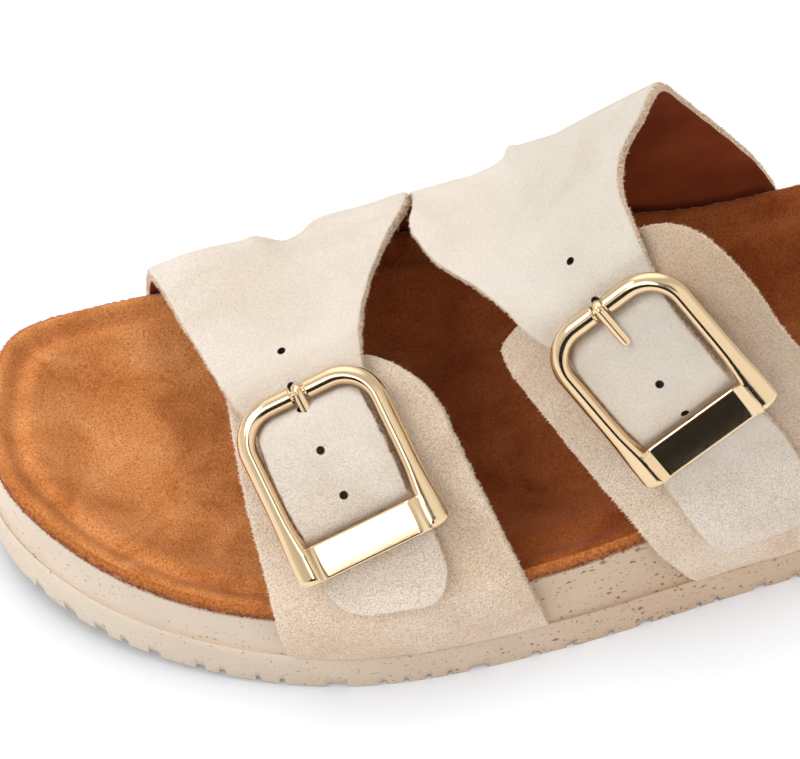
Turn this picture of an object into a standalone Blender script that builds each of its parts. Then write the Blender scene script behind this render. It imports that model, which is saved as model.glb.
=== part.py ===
"""Two-strap slide sandal, left shoe, standing on its sole.

X runs from heel to toe, Y to the outer side of the foot, Z up. Tables and sizes are in millimetres
with x counted from the back of the heel; meshes are in metres about the middle of the shoe.
"""
import math
from functools import lru_cache

import bmesh
import bpy
import numpy as np
from mathutils import Matrix, Vector

MM = 0.001
FIT_GAP = 0.35

# Sole sizes
SOLE_LENGTH = 252.4
SHOE_CENTRE = (126.13, 1.18)
OUTSOLE_HEIGHT = 10.6
OUTSOLE_BEVEL = 1.0
TOE_SPRING = 6.6
SPRING_START = 175.0
LEDGE_INSET = 1.6
RIM_INSET = 2.4
INSOLE_THICKNESS = 3.0
LIP_WIDTH = 2.5
LIP_SLOPE = 19.0
SPINE_HEEL = 34.0
SPINE_TOE = 210.0
OUTLINE_POINTS = 60

# Tread grooves
GROOVE_DEPTH = 2.0
GROOVE_WIDTHS = (3.4, 2.2)
GROOVE_PITCH = 8.6
GROOVE_FIRST = 9.0
GROOVE_LAST = 246.0
PAD_CENTRES = (43.4, 155.2)
PAD_HALF = 6.5

# Upper sizes
STRAP_THICKNESS = 2.2
RIM_ROUND = 6.0
RIM_CLEAR = 1.2
LATERAL_ROUND = 18.0
MEDIAL_ROUND = 13.0
LAYER_LIFT = STRAP_THICKNESS + FIT_GAP
LAYER_RAMP = 16.0
RISE_FADE = 9.0
STRAP_COLUMNS = 8

# Buckle sizes
BAR_RADIUS = 1.65
NECK_SHARE = 0.62
NECK_HALF = 1.5
BUCKLE_WIDTH = 30.8
BUCKLE_REACH = 31.0
CORNER_RADIUS = 7.0
PLATE_WIDTH = 7.4
PLATE_THICKNESS = 2.3
PLATE_EDGE = 0.5
PRONG_RADIUS = 0.95
EYE_WIDTH = 2.2
EYE_WALL = 0.5
EYE_INSIDE = BAR_RADIUS * NECK_SHARE + FIT_GAP
EYE_OUTSIDE = EYE_INSIDE + EYE_WALL
BUCKLE_FLOAT = EYE_OUTSIDE - BAR_RADIUS + FIT_GAP

# Outsole outline: heel, inner side, toe, outer side (x, y)
OUTLINE = (
    (0.0, 0.0), (12.0, -23.0), (38.0, -32.0), (70.0, -31.0), (105.0, -29.0), (140.0, -37.8),
    (172.0, -45.2), (200.0, -42.7), (223.0, -40.4), (244.0, -33.0), (251.8, -13.2), (250.0, 6.4),
    (237.7, 23.7), (219.5, 36.2), (195.7, 44.8), (172.0, 47.5), (140.0, 45.0), (105.0, 39.2),
    (70.0, 34.5), (38.0, 33.0), (12.0, 23.0),
)

# Footbed heights (x, rim on the outer side, rim on the inner side, bed)
FOOTBED = (
    (0.0, 42.0, 42.0, 31.0),
    (45.0, 41.0, 43.5, 27.5),
    (90.0, 38.7, 45.2, 28.5),
    (130.0, 30.5, 40.5, 25.0),
    (170.0, 26.8, 28.4, 21.5),
    (210.0, 24.0, 23.8, 19.0),
    (250.0, 30.0, 28.5, 24.0),
)

# Last over the foot (x, inner shoulder height, inner shoulder y, drop to outer shoulder, outer y)
LAST = (
    (60.0, 110.0, -23.0, 4.0, 14.0),
    (85.0, 103.0, -24.0, 4.0, 14.0),
    (120.0, 88.0, -25.0, 3.0, 14.0),
    (140.0, 73.5, -26.0, 3.0, 14.5),
    (160.0, 62.0, -27.0, 2.5, 15.0),
    (190.0, 54.0, -28.0, 1.5, 16.0),
    (212.0, 48.0, -29.0, 1.5, 16.0),
    (232.0, 43.5, -27.0, 2.0, 14.0),
)

# Strap rows, inner side first (front x, front s, rear x, rear s): s is the way round the last
# from the outer ledge, or back from the inner ledge where it is negative
FRONT_STRAP = (
    (213.5, -0.1, 163.5, -0.1),
    (213.5, -12.0, 163.5, -14.0),
    (213.3, -26.0, 163.3, -35.0),
    (213.0, 84.0, 163.8, 99.5),
    (210.2, 75.0, 167.6, 90.5),
    (207.4, 67.0, 171.5, 82.5),
    (204.6, 59.4, 174.8, 73.5),
    (201.6, 53.4, 176.2, 64.5),
    (198.4, 48.5, 176.2, 55.0),
    (196.9, 42.7, 174.6, 49.5),
    (194.3, 34.0, 172.0, 40.8),
    (190.4, 22.8, 167.6, 28.6),
    (188.2, 15.4, 165.4, 17.4),
)
REAR_STRAP = (
    (160.6, -0.1, 81.0, -0.1),
    (160.6, -14.0, 83.0, -24.0),
    (160.4, -34.0, 90.0, -42.0),
    (160.4, 98.0, 110.5, 125.0),
    (162.0, 91.0, 117.0, 109.5),
    (158.9, 82.9, 122.3, 100.6),
    (152.6, 75.6, 123.7, 91.5),
    (147.0, 69.4, 121.4, 79.4),
    (141.0, 63.2, 120.6, 75.6),
    (137.0, 59.2, 118.4, 70.0),
    (132.7, 51.9, 113.8, 62.9),
    (125.4, 38.7, 105.6, 50.2),
    (120.0, 26.8, 98.6, 37.5),
    (112.6, 13.6, 90.4, 16.5),
)
FRONT_BASE = (
    (197.7, 0.1, 146.5, 0.1),
    (199.7, 12.0, 149.7, 12.0),
    (200.9, 22.0, 153.0, 22.0),
    (202.2, 32.0, 156.4, 32.0),
    (202.9, 42.0, 159.7, 42.0),
    (202.9, 52.0, 162.8, 52.0),
    (202.6, 63.5, 166.2, 63.5),
)
REAR_BASE = (
    (115.9, 0.1, 62.0, 0.1),
    (122.4, 12.0, 69.0, 12.0),
    (129.7, 25.5, 76.6, 25.5),
    (137.5, 38.3, 84.2, 38.3),
    (144.0, 49.6, 92.0, 51.0),
    (148.6, 57.5, 100.6, 65.0),
    (150.4, 64.5, 112.0, 92.0),
)

# Corner rounding at the free ends (front corner, rear corner)
FRONT_TAB_ROUND = (9.0, 11.0)
REAR_TAB_ROUND = (6.0, 17.0)
TAIL_ROUND = (6.0, 6.0)

# Where a base piece ends under its long strap (x, s) at two places
LAYERS = {
    "front": ((165.0, 63.5), (202.0, 63.5)),
    "rear": ((112.0, 92.0), (150.4, 64.5)),
}

# Buckles: middle of the bar and of the plate on the last (x, s, height to spare), dome of the strap
# inside the frame, length of prong that shows and its rise in degrees
BUCKLES = {
    "front": {"bar": (188.9, 56.8, 0.9), "plate": (180.0, 29.8, 0.9),
              "dome": 3.0, "prong": 5.4, "rise": 9.0},
    "rear": {"bar": (130.7, 72.2, 2.4), "plate": (113.9, 44.0, 3.0),
             "dome": 1.8, "prong": 9.2, "rise": 3.0},
}

# Colours (red, green, blue), roughness, metallic
FINISHES = {
    "suede_cream": ((0.80, 0.70, 0.58), 0.95, 0.0),
    "suede_caramel": ((0.42, 0.17, 0.05), 0.95, 0.0),
    "foam_beige": ((0.66, 0.54, 0.42), 0.85, 0.0),
    "metal_gold": ((0.85, 0.68, 0.40), 0.18, 1.0),
}


def smoothstep(value):
    value = min(max(value, 0.0), 1.0)
    return value * value * (3.0 - 2.0 * value)


def read_table(table, x):
    """Every column of a table at x, on smooth curves through its rows."""
    data = np.array(table)
    stations = data[:, 0]
    x = min(max(x, stations[0]), stations[-1])
    row = min(max(int(np.searchsorted(stations, x)) - 1, 0), len(stations) - 2)
    slopes = np.gradient(data[:, 1:], stations, axis=0)
    span = stations[row + 1] - stations[row]
    t = (x - stations[row]) / span
    start, end = data[row, 1:], data[row + 1, 1:]
    return (
        (2 * t**3 - 3 * t**2 + 1) * start
        + (t**3 - 2 * t**2 + t) * span * slopes[row]
        + (3 * t**2 - 2 * t**3) * end
        + (t**3 - t**2) * span * slopes[row + 1]
    )


def closed_curve(points, count):
    """Points evenly spaced along the smooth closed curve through the given ones."""
    knots = np.array(points)
    around = np.vstack([knots[-2:], knots, knots[:3]])
    curve = []
    for k in range(len(knots)):
        before, start, end, after = around[k + 1:k + 5]
        for t in np.linspace(0.0, 1.0, 40, endpoint=False):
            curve.append(0.5 * (2 * start + (end - before) * t
                                + (2 * before - 5 * start + 4 * end - after) * t**2
                                + (3 * start - before - 3 * end + after) * t**3))
    curve = np.vstack([curve, curve[0]])
    lengths = np.append(0.0, np.cumsum(np.linalg.norm(np.diff(curve, axis=0), axis=1)))
    places = np.linspace(0.0, lengths[-1], count, endpoint=False)
    return np.column_stack([np.interp(places, lengths, curve[:, axis]) for axis in (0, 1)])


FINE_OUTLINE = closed_curve(OUTLINE, 900)
TOE_INDEX = int(FINE_OUTLINE[:, 0].argmax())
INNER_SIDE = FINE_OUTLINE[:TOE_INDEX + 1]
OUTER_SIDE = FINE_OUTLINE[TOE_INDEX:][::-1]


def outer_y(x):
    return float(np.interp(x, OUTER_SIDE[:, 0], OUTER_SIDE[:, 1]))


def inner_y(x):
    return float(np.interp(x, INNER_SIDE[:, 0], INNER_SIDE[:, 1]))


def floor_z(x):
    """Underside of the outsole: flat, then rising to the toe."""
    reach = (x - SPRING_START) / (SOLE_LENGTH - SPRING_START)
    return TOE_SPRING * min(max(reach, 0.0), 1.0) ** 2


def ledge_z(x):
    return floor_z(x) + OUTSOLE_HEIGHT


def rim_z(x, y):
    """Top of the footbed's rim, blended from the inner to the outer side."""
    outer, inner, _ = read_table(FOOTBED, x)
    share = smoothstep((y + 25.0) / 50.0)
    return share * outer + (1.0 - share) * inner


def bed_z(x):
    return float(read_table(FOOTBED, x)[2])


def outline_ring(inset):
    """Outline points moved in by inset, square to the edge."""
    ring = closed_curve(OUTLINE, OUTLINE_POINTS)
    along = np.roll(ring, -1, axis=0) - np.roll(ring, 1, axis=0)
    along /= np.linalg.norm(along, axis=1)[:, None]
    outward = np.column_stack([along[:, 1], -along[:, 0]])
    return ring - outward * inset


def spine_point(x):
    x = min(max(x, SPINE_HEEL), SPINE_TOE)
    return np.array([x, 0.5 * (outer_y(x) + inner_y(x))])


def shrunk_ring(ring, share):
    """A ring drawn in towards the spine that runs from heel to toe."""
    return np.array([point + (spine_point(point[0]) - point) * share for point in ring])


def lay_ring(ring, height):
    return [(x, y, height(x, y)) for x, y in ring]


def add_material(obj, finish):
    colour, roughness, metallic = FINISHES[finish]
    material = bpy.data.materials.new(obj.name + "_" + finish)
    material.use_nodes = True
    shader = material.node_tree.nodes["Principled BSDF"]
    shader.inputs["Base Color"].default_value = (*colour, 1.0)
    shader.inputs["Roughness"].default_value = roughness
    shader.inputs["Metallic"].default_value = metallic
    obj.data.materials.append(material)


def to_metres(point):
    return ((point[0] - SHOE_CENTRE[0]) * MM, (point[1] - SHOE_CENTRE[1]) * MM, point[2] * MM)


def new_object(name, mesh, collection):
    obj = bpy.data.objects.new(name, mesh)
    collection.objects.link(obj)
    return obj


def add_piece(name, mesh, collection, finish):
    obj = new_object(name, mesh, collection)
    mesh.shade_smooth()
    mesh.set_sharp_from_angle(angle=math.radians(40.0))
    add_material(obj, finish)
    return obj


def lofted_rings(name, rings):
    """A closed body through rings of equal count, its first and last ring closed across the spine."""
    mesh = bmesh.new()
    levels = [[mesh.verts.new(to_metres(p)) for p in ring] for ring in rings]
    count = len(levels[0])
    for lower, upper in zip(levels, levels[1:]):
        for k in range(count):
            after = (k + 1) % count
            mesh.faces.new((lower[k], lower[after], upper[after], upper[k]))
    for level in (levels[0], levels[-1]):
        for k in range(1, count // 2 - 1):
            mesh.faces.new((level[k], level[k + 1], level[count - k - 1], level[count - k]))
        mesh.faces.new((level[0], level[1], level[count - 1]))
        half = count // 2
        mesh.faces.new((level[half - 1], level[half], level[half + 1]))
    bmesh.ops.recalc_face_normals(mesh, faces=mesh.faces)
    bmesh.ops.triangulate(mesh, faces=[f for f in mesh.faces if len(f.verts) == 4])
    data = bpy.data.meshes.new(name)
    mesh.to_mesh(data)
    mesh.free()
    return data


def footbed_rings(drop):
    """Rings across the footbed from the rim to the spine, the given drop below the suede's top."""
    edge = outline_ring(RIM_INSET)
    rings = []
    for share in (0.06, 0.15, 0.28, 0.45, 0.65, 0.9):
        ring = []
        for start, (x, y) in zip(edge, shrunk_ring(edge, share)):
            inset = math.dist(start, (x, y))
            rim = rim_z(x, start[1])
            fall = smoothstep((inset - LIP_WIDTH) / LIP_SLOPE)
            ring.append((x, y, rim + (bed_z(x) - rim) * fall - drop))
        rings.append(ring)
    return rings


def build_outsole(collection, cutters):
    bottom = outline_ring(0.8)
    rings = [
        lay_ring(shrunk_ring(bottom, 0.6), lambda x, y: floor_z(x)),
        lay_ring(bottom, lambda x, y: floor_z(x)),
        lay_ring(outline_ring(0.0), lambda x, y: floor_z(x) + 1.2),
        lay_ring(outline_ring(0.0), lambda x, y: ledge_z(x) - OUTSOLE_BEVEL),
        lay_ring(outline_ring(OUTSOLE_BEVEL), lambda x, y: ledge_z(x)),
        lay_ring(shrunk_ring(bottom, 0.6), lambda x, y: ledge_z(x)),
    ]
    outsole = add_piece("outsole", lofted_rings("outsole", rings), collection, "foam_beige")
    cut = outsole.modifiers.new("tread", "BOOLEAN")
    cut.operation = "DIFFERENCE"
    cut.object = build_grooves(cutters)


def groove_stations():
    """Station and width of each groove; none crosses the two plain pads."""
    grooves = []
    station = GROOVE_FIRST
    while station < GROOVE_LAST:
        width = GROOVE_WIDTHS[len(grooves) % len(GROOVE_WIDTHS)]
        if all(abs(station - pad) > PAD_HALF for pad in PAD_CENTRES):
            grooves.append((station, width))
        station += GROOVE_PITCH
    return grooves


def build_grooves(cutters):
    mesh = bmesh.new()
    for station, width in groove_stations():
        slope = (floor_z(station + 1.0) - floor_z(station - 1.0)) / 2.0
        size = Matrix.Diagonal((width * MM, 0.13, 2.0 * GROOVE_DEPTH * MM, 1.0))
        place = Matrix.Translation(to_metres((station, SHOE_CENTRE[1], floor_z(station))))
        turn = Matrix.Rotation(-math.atan(slope), 4, "Y")
        bmesh.ops.create_cube(mesh, size=1.0, matrix=place @ turn @ size)
    data = bpy.data.meshes.new("groove_cutter")
    mesh.to_mesh(data)
    mesh.free()
    cutter = new_object("groove_cutter", data, cutters)
    cutter.hide_render = True
    cutter.display_type = "WIRE"
    return cutter


def build_midsole(collection):
    foot = outline_ring(LEDGE_INSET)
    wall = outline_ring(RIM_INSET)
    drop = INSOLE_THICKNESS + FIT_GAP
    rings = [
        lay_ring(shrunk_ring(foot, 0.6), lambda x, y: ledge_z(x) + FIT_GAP),
        lay_ring(foot, lambda x, y: ledge_z(x) + FIT_GAP),
        lay_ring(0.5 * (foot + wall), lambda x, y: 0.5 * (ledge_z(x) + rim_z(x, y) - drop)),
        lay_ring(wall, lambda x, y: rim_z(x, y) - drop),
    ]
    mesh = lofted_rings("midsole", rings + footbed_rings(drop))
    add_piece("midsole", mesh, collection, "foam_beige")


def build_insole(collection):
    edge = outline_ring(RIM_INSET)
    shoulder = outline_ring(RIM_INSET + 0.7)
    rings = [
        lay_ring(edge, lambda x, y: rim_z(x, y) - INSOLE_THICKNESS),
        lay_ring(edge, lambda x, y: rim_z(x, y) - 0.9),
        lay_ring(shoulder, lambda x, y: rim_z(x, y) - 0.1),
    ]
    under = footbed_rings(INSOLE_THICKNESS)[::-1]
    mesh = lofted_rings("insole", under + rings + footbed_rings(0.0))
    add_piece("insole", mesh, collection, "suede_caramel")


@lru_cache(maxsize=None)
def last_section(x):
    """The last at a station as a line from the outer ledge over the foot to the inner ledge.

    Straight runs meet in rounded corners at the rims and at the two shoulders.
    """
    shoulder_z, inner_shoulder, drop, outer_shoulder = read_table(LAST, x)
    outer_foot = outer_y(x) - LEDGE_INSET + FIT_GAP
    outer_rim = outer_y(x) - RIM_INSET + FIT_GAP + RIM_CLEAR
    inner_foot = inner_y(x) + LEDGE_INSET - FIT_GAP
    inner_rim = inner_y(x) + RIM_INSET - FIT_GAP - RIM_CLEAR
    foot_height = ledge_z(x) + FIT_GAP
    corners = np.array([
        (outer_foot, foot_height),
        (outer_rim, rim_z(x, outer_rim)),
        (outer_shoulder, shoulder_z - drop),
        (inner_shoulder, shoulder_z),
        (inner_rim, rim_z(x, inner_rim)),
        (inner_foot, foot_height),
    ])
    rounds = (RIM_ROUND, LATERAL_ROUND, MEDIAL_ROUND, RIM_ROUND)
    line = [corners[0]]
    for before, corner, after, setback in zip(corners, corners[1:], corners[2:], rounds):
        lead_in = before - corner
        lead_out = after - corner
        start = corner + lead_in * min(setback / np.linalg.norm(lead_in), 0.47)
        end = corner + lead_out * min(setback / np.linalg.norm(lead_out), 0.47)
        for t in np.linspace(0.0, 1.0, 9):
            line.append((1 - t) ** 2 * start + 2 * t * (1 - t) * corner + t**2 * end)
    line.append(corners[-1])
    line = np.array(line)
    lengths = np.append(0.0, np.cumsum(np.linalg.norm(np.diff(line, axis=0), axis=1)))
    return line, lengths


def girth(x):
    return float(last_section(x)[1][-1])


def last_point(x, share):
    """Point of the last at a station and a share of the way round it."""
    line, lengths = last_section(round(x, 4))
    way = min(max(share, 0.0), 1.0) * lengths[-1]
    return np.array([x, np.interp(way, lengths, line[:, 0]), np.interp(way, lengths, line[:, 1])])


def last_frame(x, share):
    """Point, way round, and outward direction of the last."""
    step, turn = 0.8, 0.006
    point = last_point(x, share)
    along = last_point(x + step, share) - last_point(x - step, share)
    around = last_point(x, min(share + turn, 1.0)) - last_point(x, max(share - turn, 0.0))
    outward = np.cross(around, along)
    return point, around / np.linalg.norm(around), outward / np.linalg.norm(outward)


def way_share(x, s):
    """Share of the way round for s counted from the outer ledge, or back from the inner one."""
    length = girth(x)
    return (s if s >= 0.0 else length + s) / length


def row_ends(rows):
    """Strap rows as (front x, front share, rear x, rear share)."""
    return np.array([(fx, way_share(fx, fs), rx, way_share(rx, rs)) for fx, fs, rx, rs in rows])


def spread_rows(ends, count):
    """Rows spaced evenly along a strap on smooth curves through the given ones."""
    middles = [0.5 * (last_point(fx, ft) + last_point(rx, rt)) for fx, ft, rx, rt in ends]
    ways = np.append(0.0, np.cumsum([math.dist(a, b) for a, b in zip(middles, middles[1:])]))
    table = np.column_stack([ways, ends])
    return [read_table(table, way) for way in np.linspace(0.0, ways[-1], count)]


def corner_pull(radius, left):
    """How far a rounded corner draws the edge in, with the given length left to the end."""
    return radius - math.sqrt(max(radius**2 - max(radius - left, 0.0) ** 2, 0.0))


def round_end(rows, radii, count):
    """Rows of a strap with its last end rounded: the rows close in over the last stretch."""
    middles = [0.5 * (last_point(fx, ft) + last_point(rx, rt)) for fx, ft, rx, rt in rows]
    ways = np.append(0.0, np.cumsum([math.dist(a, b) for a, b in zip(middles, middles[1:])]))
    table = np.column_stack([ways, rows])
    stretch = max(radii)
    kept = [row for row, way in zip(rows, ways) if way < ways[-1] - stretch - 1.0]
    for angle in np.linspace(0.0, 0.5 * math.pi, count):
        left = stretch * (1.0 - math.sin(angle))
        fx, ft, rx, rt = read_table(table, ways[-1] - left)
        width = math.dist(last_point(fx, ft), last_point(rx, rt))
        front, rear = (corner_pull(radius, left) / width for radius in radii)
        kept.append(np.array([
            fx + (rx - fx) * front, ft + (rt - ft) * front,
            rx + (fx - rx) * rear, rt + (ft - rt) * rear,
        ]))
    return kept


def strap_lift(layer, x, share):
    """How far the long strap stands off the last where it climbs over its base piece."""
    (low_x, low_s), (high_x, high_s) = layer
    end = low_s + (high_s - low_s) * (x - low_x) / (high_x - low_x)
    past = share * girth(x) - end - 1.5
    return LAYER_LIFT * (1.0 - smoothstep(past / LAYER_RAMP))


@lru_cache(maxsize=None)
def buckle_place(side):
    """Place of a buckle: its bar and plate rest on the strap, X along the bar, Y towards the bar."""
    feet, normals = [], []
    for seat in ("bar", "plate"):
        x, s, spare = BUCKLES[side][seat]
        point, _, outward = last_frame(x, way_share(x, s))
        feet.append(point + outward * (LAYER_LIFT + STRAP_THICKNESS + FIT_GAP + spare))
        normals.append(outward)
    up = Vector(feet[0] - feet[1]).normalized()
    outward = Vector(normals[0] + normals[1])
    across = up.cross(outward).normalized()
    outward = across.cross(up).normalized()
    centre = Vector(to_metres(0.5 * (feet[0] + feet[1])))
    turn = Matrix((across, up, outward)).transposed().to_4x4()
    return Matrix.Translation(centre) @ turn


def buckle_rise(side, point):
    """How far the strap rises to its buckle: up to the bar and plate, and in a dome between them."""
    x, y, z = buckle_place(side).inverted() @ Vector(to_metres(point)) / MM
    reach = BUCKLE_REACH / 2.0
    head = reach - 2.0 * BAR_RADIUS
    foot = -reach + PLATE_WIDTH / 2.0
    along = (2.0 * y - head - foot) / (head - foot)
    bulge = max(1.0 - along**2, 0.0) * (1.0 - (x / BUCKLE_WIDTH * 2.0) ** 2)
    target = BUCKLES[side]["dome"] * bulge - BUCKLE_FLOAT
    fade = 1.0 - smoothstep((abs(y) - reach - BAR_RADIUS) / RISE_FADE)
    near = smoothstep(2.0 + z / RISE_FADE)
    return max(target - z, 0.0) * fade * near


def long_lift(side, x, share):
    """Stand-off of a long strap's underside from the last."""
    lift = strap_lift(LAYERS[side], x, share)
    point, _, outward = last_frame(x, share)
    return lift + buckle_rise(side, point + outward * (lift + STRAP_THICKNESS))


def strap_mesh(name, rows, lift):
    """Open grid over the last: a row of points for each strap row."""
    mesh = bmesh.new()
    grid = []
    for fx, ft, rx, rt in rows:
        line = []
        for w in np.linspace(0.0, 1.0, STRAP_COLUMNS + 1):
            x, share = fx + (rx - fx) * w, ft + (rt - ft) * w
            point, _, outward = last_frame(x, share)
            line.append(mesh.verts.new(to_metres(point + outward * lift(x, share))))
        grid.append(line)
    for near, far in zip(grid, grid[1:]):
        for k in range(STRAP_COLUMNS):
            mesh.faces.new((near[k], near[k + 1], far[k + 1], far[k]))
    mesh.normal_update()
    middle = grid[len(grid) // 2][STRAP_COLUMNS // 2]
    if middle.normal.dot(Vector(last_outward(rows[len(rows) // 2]))) < 0.0:
        bmesh.ops.reverse_faces(mesh, faces=mesh.faces)
    data = bpy.data.meshes.new(name)
    mesh.to_mesh(data)
    mesh.free()
    return data


def last_outward(row):
    """Outward direction of the last at the middle of a strap row."""
    fx, ft, rx, rt = row
    return last_frame(0.5 * (fx + rx), 0.5 * (ft + rt))[2]


def build_strap(name, collection, rows, lift):
    obj = add_piece(name, strap_mesh(name, rows, lift), collection, "suede_cream")
    shell = obj.modifiers.new("leather", "SOLIDIFY")
    shell.thickness = STRAP_THICKNESS * MM
    shell.offset = 1.0
    shell.use_even_offset = True


def build_upper(collection):
    pairs = (
        ("front", FRONT_STRAP, 42, FRONT_BASE, FRONT_TAB_ROUND),
        ("rear", REAR_STRAP, 50, REAR_BASE, REAR_TAB_ROUND),
    )
    for side, long_rows, count, base_rows, tab_round in pairs:
        rows = round_end(spread_rows(row_ends(long_rows), count), TAIL_ROUND, 6)
        build_strap(side + "_strap", collection, rows, lambda x, t, at=side: long_lift(at, x, t))
        rows = round_end(spread_rows(row_ends(base_rows), 18), tab_round, 7)
        build_strap(side + "_strap_base", collection, rows, lambda x, t: 0.0)


def frame_path():
    """The round bar from one end of the plate, round the top, to the other (x, y, share of radius)."""
    half = BUCKLE_WIDTH / 2.0 - BAR_RADIUS
    top = BUCKLE_REACH / 2.0
    low = -top
    path = [(-half, low, 1.0)]
    for angle in np.linspace(math.pi, 0.5 * math.pi, 6):
        path.append((-half + CORNER_RADIUS * (1.0 + math.cos(angle)),
                     top - CORNER_RADIUS * (1.0 - math.sin(angle)), 1.0))
    path += [(-NECK_HALF - 0.4, top, 1.0), (-NECK_HALF, top, NECK_SHARE)]
    return path + [(-x, y, size) for x, y, size in reversed(path)]


def build_bar(collection):
    curve = bpy.data.curves.new("bar_path", "CURVE")
    curve.dimensions = "3D"
    curve.bevel_depth = BAR_RADIUS * MM
    curve.bevel_resolution = 3
    curve.use_fill_caps = True
    path = frame_path()
    spline = curve.splines.new("POLY")
    spline.points.add(len(path) - 1)
    for point, (x, y, size) in zip(spline.points, path):
        point.co = (x * MM, y * MM, BAR_RADIUS * MM, 1.0)
        point.radius = size
    return curve_to_mesh(new_object("bar_path", curve, collection))


def curve_to_mesh(curve):
    """The curve's tube as a welded mesh; the curve itself is removed."""
    evaluated = curve.evaluated_get(bpy.context.evaluated_depsgraph_get())
    data = bpy.data.meshes.new_from_object(evaluated)
    mesh = bmesh.new()
    mesh.from_mesh(data)
    bmesh.ops.remove_doubles(mesh, verts=mesh.verts, dist=1e-6)
    bmesh.ops.recalc_face_normals(mesh, faces=mesh.faces)
    mesh.to_mesh(data)
    mesh.free()
    bpy.data.objects.remove(curve)
    return data


def plate_mesh():
    """Flat plate that closes the frame at its lower end."""
    mesh = bmesh.new()
    size = Matrix.Diagonal((BUCKLE_WIDTH * MM, PLATE_WIDTH * MM, PLATE_THICKNESS * MM, 1.0))
    place = Matrix.Translation((0.0, -BUCKLE_REACH / 2.0 * MM, PLATE_THICKNESS / 2.0 * MM))
    bmesh.ops.create_cube(mesh, size=1.0, matrix=place @ size)
    bmesh.ops.bevel(mesh, geom=mesh.edges, offset=PLATE_EDGE * MM, segments=2, affect="EDGES",
                    profile=0.5)
    data = bpy.data.meshes.new("plate")
    mesh.to_mesh(data)
    mesh.free()
    return data


def prong_mesh(length):
    """Rod that leaves the eye round the bar's neck and lies over the strap."""
    mesh = bmesh.new()
    radius = PRONG_RADIUS * MM
    place = Matrix.Translation((0.0, -0.5 * length - EYE_INSIDE * MM, 0.0))
    turn = Matrix.Rotation(0.5 * math.pi, 4, "X")
    bmesh.ops.create_cone(mesh, cap_ends=True, segments=12, radius1=radius, radius2=radius,
                          depth=length, matrix=place @ turn)
    tip = [v for v in mesh.verts if v.co.y < -length]
    tip_edges = [e for e in mesh.edges if all(v in tip for v in e.verts)]
    bmesh.ops.bevel(mesh, geom=tip_edges, offset=0.6 * radius, segments=3, affect="EDGES", profile=0.5)
    data = bpy.data.meshes.new("prong")
    mesh.to_mesh(data)
    mesh.free()
    return data


def ring_mesh(radius, depth):
    """Round disc about the bar's axis."""
    mesh = bmesh.new()
    bmesh.ops.create_cone(mesh, cap_ends=True, segments=20, radius1=radius * MM, radius2=radius * MM,
                          depth=depth * MM, matrix=Matrix.Rotation(0.5 * math.pi, 4, "Y"))
    data = bpy.data.meshes.new("eye")
    mesh.to_mesh(data)
    mesh.free()
    return data


def add_boolean(obj, operation, mesh, cutters, matrix):
    """Join or cut an object with a guide mesh at the same place."""
    tool = new_object(obj.name + "_" + mesh.name, mesh, cutters)
    tool.matrix_world = matrix
    tool.hide_render = True
    tool.display_type = "WIRE"
    step = obj.modifiers.new(operation.lower(), "BOOLEAN")
    step.operation = operation
    step.object = tool


def build_buckle(side, collection, cutters):
    place = buckle_place(side)
    frame = add_piece(side + "_buckle", build_bar(cutters), collection, "metal_gold")
    frame.matrix_world = place
    add_boolean(frame, "UNION", plate_mesh(), cutters, place)

    length, rise = BUCKLES[side]["prong"], BUCKLES[side]["rise"]
    bar_axis = Vector((0.0, BUCKLE_REACH / 2.0 * MM, BAR_RADIUS * MM))
    pivot = place @ Matrix.Translation(bar_axis) @ Matrix.Rotation(-math.radians(rise), 4, "X")
    prong = add_piece(side + "_buckle_prong", prong_mesh(length * MM), collection, "metal_gold")
    prong.matrix_world = pivot
    add_boolean(prong, "UNION", ring_mesh(EYE_OUTSIDE, EYE_WIDTH), cutters, pivot)
    add_boolean(prong, "DIFFERENCE", ring_mesh(EYE_INSIDE, 4.0 * EYE_WIDTH), cutters, pivot)


def main():
    for obj in list(bpy.data.objects):
        bpy.data.objects.remove(obj)
    scene = bpy.context.scene
    shoe = bpy.data.collections.new("slide_sandal")
    cutters = bpy.data.collections.new("cutters")
    scene.collection.children.link(shoe)
    scene.collection.children.link(cutters)
    build_outsole(shoe, cutters)
    build_midsole(shoe)
    build_insole(shoe)
    build_upper(shoe)
    for side in BUCKLES:
        build_buckle(side, shoe, cutters)


main()
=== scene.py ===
"""Dressed slide sandal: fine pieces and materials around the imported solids, on a pale floor."""
import math

import bmesh
import bpy
import numpy as np
from mathutils import Matrix, Vector


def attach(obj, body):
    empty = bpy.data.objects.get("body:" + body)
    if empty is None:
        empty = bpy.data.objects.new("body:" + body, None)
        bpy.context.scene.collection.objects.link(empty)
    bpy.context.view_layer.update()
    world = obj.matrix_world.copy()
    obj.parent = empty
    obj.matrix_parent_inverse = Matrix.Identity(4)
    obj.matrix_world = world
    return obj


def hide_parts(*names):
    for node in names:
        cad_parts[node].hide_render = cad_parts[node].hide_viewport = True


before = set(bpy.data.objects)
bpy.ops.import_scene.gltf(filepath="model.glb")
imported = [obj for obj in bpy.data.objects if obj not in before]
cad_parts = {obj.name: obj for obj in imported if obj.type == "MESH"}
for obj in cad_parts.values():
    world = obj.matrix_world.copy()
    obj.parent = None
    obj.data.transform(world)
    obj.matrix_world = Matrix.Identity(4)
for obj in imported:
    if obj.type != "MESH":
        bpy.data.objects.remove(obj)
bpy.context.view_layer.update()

rng = np.random.default_rng(11)

# Lengths are in millimetres on the shoe: x from heel to toe, y to the outer side, z up
MM = 0.001
UP = (0.0, 0.0, 1.0)
SHOE_CENTRE = np.array([126.13, 1.18, 0.0])
FIT_GAP = 0.35

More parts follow.
